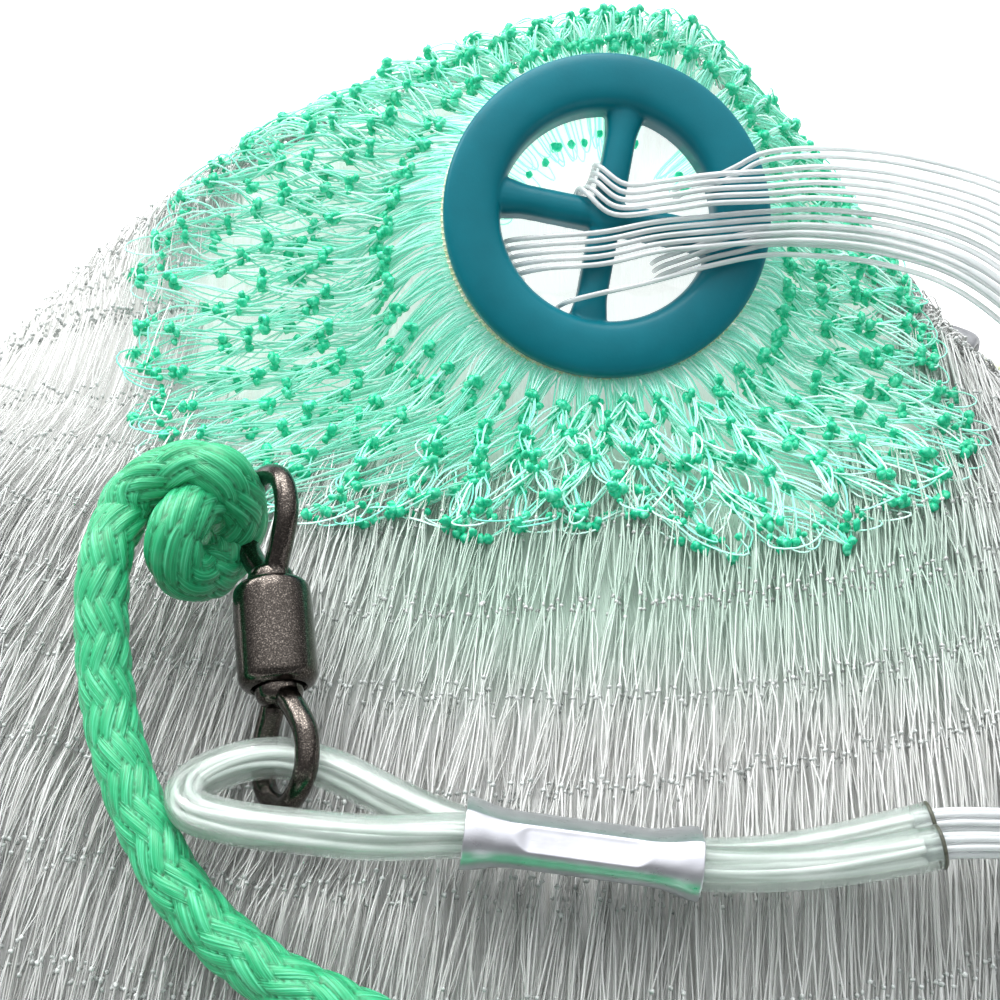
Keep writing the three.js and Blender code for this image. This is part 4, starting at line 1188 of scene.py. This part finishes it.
def add_netting(name, rng, lines, knots, gauge, paints, slot, tone=(0.2, 1.0), glow=0.0):
    """The strands and the knots of one layer; tone and glow are marks for the paints, glow being painted
    glow, which the strands also get on the far left shoulder.
    """
    radius, knot_radius = gauge
    each = rng.uniform(*tone, len(lines)) ** 1.3
    points = lines.shape[1]
    for part, some in in_parts(f"{name}_strands", len(lines), (points - 1) * 6):
        shape = strands(lines[some], radius)
        add_piece(part, shape, paints[0], slot, marks={
            "tone": np.repeat(each[some], points * 3), "green": green_share(shape[0]),
            "glow": np.maximum(glow, 0.5 * far_glow_share(shape[0]))})
    for part, some in in_parts(f"{name}_knots", len(knots), LUMP.faces):
        lumps = beads(rng, knots[some], knot_radius)
        add_piece(part, lumps, paints[1], slot, marks={"glow": np.full(len(lumps[0]), glow)})


CORE = Sizes(around=420, down=90, tiles=6, sunk=-2.2, middle=(10, 46, 0.5))
SEAT = Sizes(reach=34, edge=3, deep=7)          # hollow for the horn
THROAT = Sizes(reach=27, edge=4, deep=-25)      # where the horn's openings look in; painted glow there stands in for light from behind


def make_heap_core():
    """The heap's inner netting as one soft surface, hollowed where the horn sits."""
    around, down, tiles = CORE.around, CORE.down, CORE.tiles
    u, v = np.arange(around) / around, np.linspace(0, 1, down)
    uu, vv = np.meshgrid(u, v)
    rng = np.random.default_rng(11)
    ripple = sum(
        rng.normal(0, 1) * np.sin(2 * np.pi * (n * uu + rng.random()) + 3 * vv) for n in range(30, 80, 3))
    top = heap_place(uu, vv, CORE.sunk + 0.18 * ripple)
    reach, front = horn_cylinder(top)
    hollow = fade(reach, SEAT.reach, SEAT.reach - SEAT.edge) * np.maximum(0, front + SEAT.deep)
    top[..., 2] -= hollow / HORN_AXIS[2]
    corners = np.vstack([top.reshape(-1, 3), [CORE.middle]])
    near = np.arange(around // 2)
    seam = np.column_stack([near, near + 1, around - near - 1, (around - near) % around])
    under = fan((down - 1) * around + np.arange(around), len(corners) - 1)[:, ::-1]
    rows, columns = np.meshgrid(np.arange(down - 1), np.arange(around), indexing="ij")
    quad_uv = [
        np.stack([(columns + column).ravel() / around * tiles, v[rows + step].ravel() * tiles], axis=-1)
        for step, column in ((1, 0), (1, 1), (0, 1), (0, 0))]
    seam_uv = np.stack([seam.ravel() / around * tiles, np.zeros(seam.size)], axis=-1)
    uv = np.vstack([np.stack(quad_uv, axis=1).reshape(-1, 2), seam_uv, np.zeros((under.size, 2))])
    reach, front = horn_cylinder(corners)
    # Painted glow: full where the horn's openings look in (through), up to 0.62 under the ruff (shade),
    # where the green is also painted out towards white, and up to 0.6 on the far left shoulder, all
    # standing in for light from behind.
    through = fade(reach, THROAT.reach, THROAT.reach - THROAT.edge) * (front > THROAT.deep)
    shade = ruff_glow_share(corners)
    marks = {"green": green_share(corners) * (1 - 0.7 * shade),
             "glow": np.maximum(through, np.maximum(0.62 * shade, 0.6 * far_glow_share(corners)))}
    add_piece("netting_heap", (corners, [grid_faces(down, around)[:, ::-1], seam, under]), netting_deep(),
              "clear_netting", uv=uv, marks=marks, replaces=("body_netting",))


BODY_LAYERS = [(880, (-1.5, 0.5)), (860, (-0.5, 1.8)), (820, (0.5, 3.6))]      # columns, low and high
BODY_ROWS = 11
BODY_START = Sizes(lines=0.93, knots=0.90)     # how far under the ruff they begin, as ruff_part says


def make_body_netting():
    make_heap_core()
    paints = clear_strand(), simple_paint("clear_knot")
    for layer, (columns, rise) in enumerate(BODY_LAYERS):
        rng = np.random.default_rng(100 + layer)
        lines, knots = net(rng, heap_place, columns, BODY_ROWS, rise, **LAY["body"])
        kept = outside_horn(lines).all(axis=1) & (ruff_part(lines) > BODY_START.lines).any(axis=1)
        shown = outside_horn(knots) & (ruff_part(knots) > BODY_START.knots)
        add_netting(f"body_layer_{layer + 1}", rng, lines[kept], knots[shown], GAUGE["body"], paints,
                    "clear_netting")


RUFF_LAYERS = [        # reach, columns, rows, low and high
    (1.0, 250, 4, (1.5, 4.0)), (0.90, 220, 4, (2.5, 5.5)),
    (0.60, 220, 3, (4.0, 7.0)), (1.05, 140, 4, (1.0, 2.5)),
]
# Painted glow on the crown's strands and knots, stronger on the loops behind the horn's openings, standing
# in for light coming through them.
RUFF_GLOW, THROAT_GLOW = 0.18, 0.9


def loops_between(rng, place, count, low, high):
    """Slack half meshes: arcs that stand out beyond the last row by low to high of the reach."""
    t = np.linspace(0, 1, 10)[None]
    at = (np.arange(count)[:, None] + rng.normal(0, 0.5, (count, 1))) / count
    wide = rng.uniform(0.8, 2.6, (count, 1)) / count
    out = rng.uniform(low, high, (count, 1))
    skew = rng.normal(0, 0.35, (count, 1)) / count
    bow = np.sin(np.pi * t)
    u = at + wide * (t - 0.5) * (1 + 0.7 * bow) + skew * bow
    v = 0.96 + out * bow**0.75
    h = rng.uniform(0.4, 4.0, (count, 1)) + bow * rng.uniform(-0.5, 3.5, (count, 1))
    return place(u, v, h)


def throat_loops(rng, count):
    """Loops of the crown's first row that hang into view behind the horn's openings."""
    t = np.linspace(0, 1, 10)[None]
    turn = np.radians(rng.uniform(20, 175, (count, 1)))
    wide = rng.uniform(0.07, 0.15, (count, 1))
    drop = rng.uniform(4.0, 9.0, (count, 1))
    bow = np.sin(np.pi * t) ** 0.5
    reach = 21.5 - drop * bow
    angle = turn + wide * (t - 0.5) * (1 + 0.5 * bow)
    deep = -5.2 - 1.2 * bow + rng.uniform(-0.8, 0.6, (count, 1))
    return horn_spot(polar(reach, angle, deep))


def make_crown_netting():
    looks = (green_strand(), green_knot()), "green_netting"
    for number, (reach, columns, rows, rise) in enumerate(RUFF_LAYERS, 1):
        rng = np.random.default_rng(200 + number)

        def place(u, v, h, reach=reach):
            return ruff_place(u, v * reach, h)

        lines, knots = net(rng, place, columns, rows, rise, **LAY["crown"])
        add_netting(f"crown_layer_{number}", rng, lines, knots[columns:], GAUGE["crown"], *looks,
                    glow=RUFF_GLOW)
    rng = np.random.default_rng(210)
    arcs = loops_between(rng, ruff_place, 150, 0.02, 0.14)
    add_netting("crown_edge", rng, arcs, arcs[:, ::9].reshape(-1, 3), GAUGE["edge"], *looks, glow=RUFF_GLOW)
    hanging = throat_loops(rng, 38)
    add_netting("crown_throat", rng, hanging, hanging[::2, 1], GAUGE["throat"], *looks, (0.6, 1.0),
                THROAT_GLOW)
    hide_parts("crown_netting")


# ---- leads ----
def make_leads():
    rx, ry, level = LEADS.rx, LEADS.ry, LEADS.z
    cord = twisted_ring(rx, ry, level, 1.3, 0.2, (900, 200))
    add_piece("lead_line_cord", cord, simple_paint("laid_cream"), "clear_line", replaces=("lead_line",))
    r, half, bore = LEADS.r, LEADS.half, LEADS.bore
    profile = rounded([[bore, half], [bore, -half], [r - 1.3, -half], [r, -half + 2.4], [r - 0.15, 0],
                       [r, half - 2.4], [r - 1.3, half]])
    lead = placed(turned(profile, 40, closed=True), turn_about("X", 90))
    for number in range(1, LEADS.count + 1):
        turn = 2 * math.pi * (number - 0.5) / LEADS.count
        heading = math.atan2(ry * math.cos(turn), -rx * math.sin(turn)) - math.pi / 2
        spot = moved(rx * math.cos(turn), ry * math.sin(turn), level)
        shape = placed(lead, spot @ turn_about("Z", math.degrees(heading)))
        add_piece(f"sinker_{number:02}", shape, simple_paint("lead_grey"), "lead_metal",
                  replaces=(f"lead_{number:02}",))


def main():
    set_camera()
    rope, rope_line = make_rope()
    slip_knot = make_slip_knot()
    tie = make_tie()
    metres(rope_line[0])
    float(distances(rope_line)[-1] * MM)
    metres(rope_line)
    make_brailles()
    set_stage()
    set_light()
    make_rope_knot()
    make_sleeve()
    make_crimp()
    make_swivel()
    make_horn()
    make_body_netting()
    make_crown_netting()
    make_leads()


main()
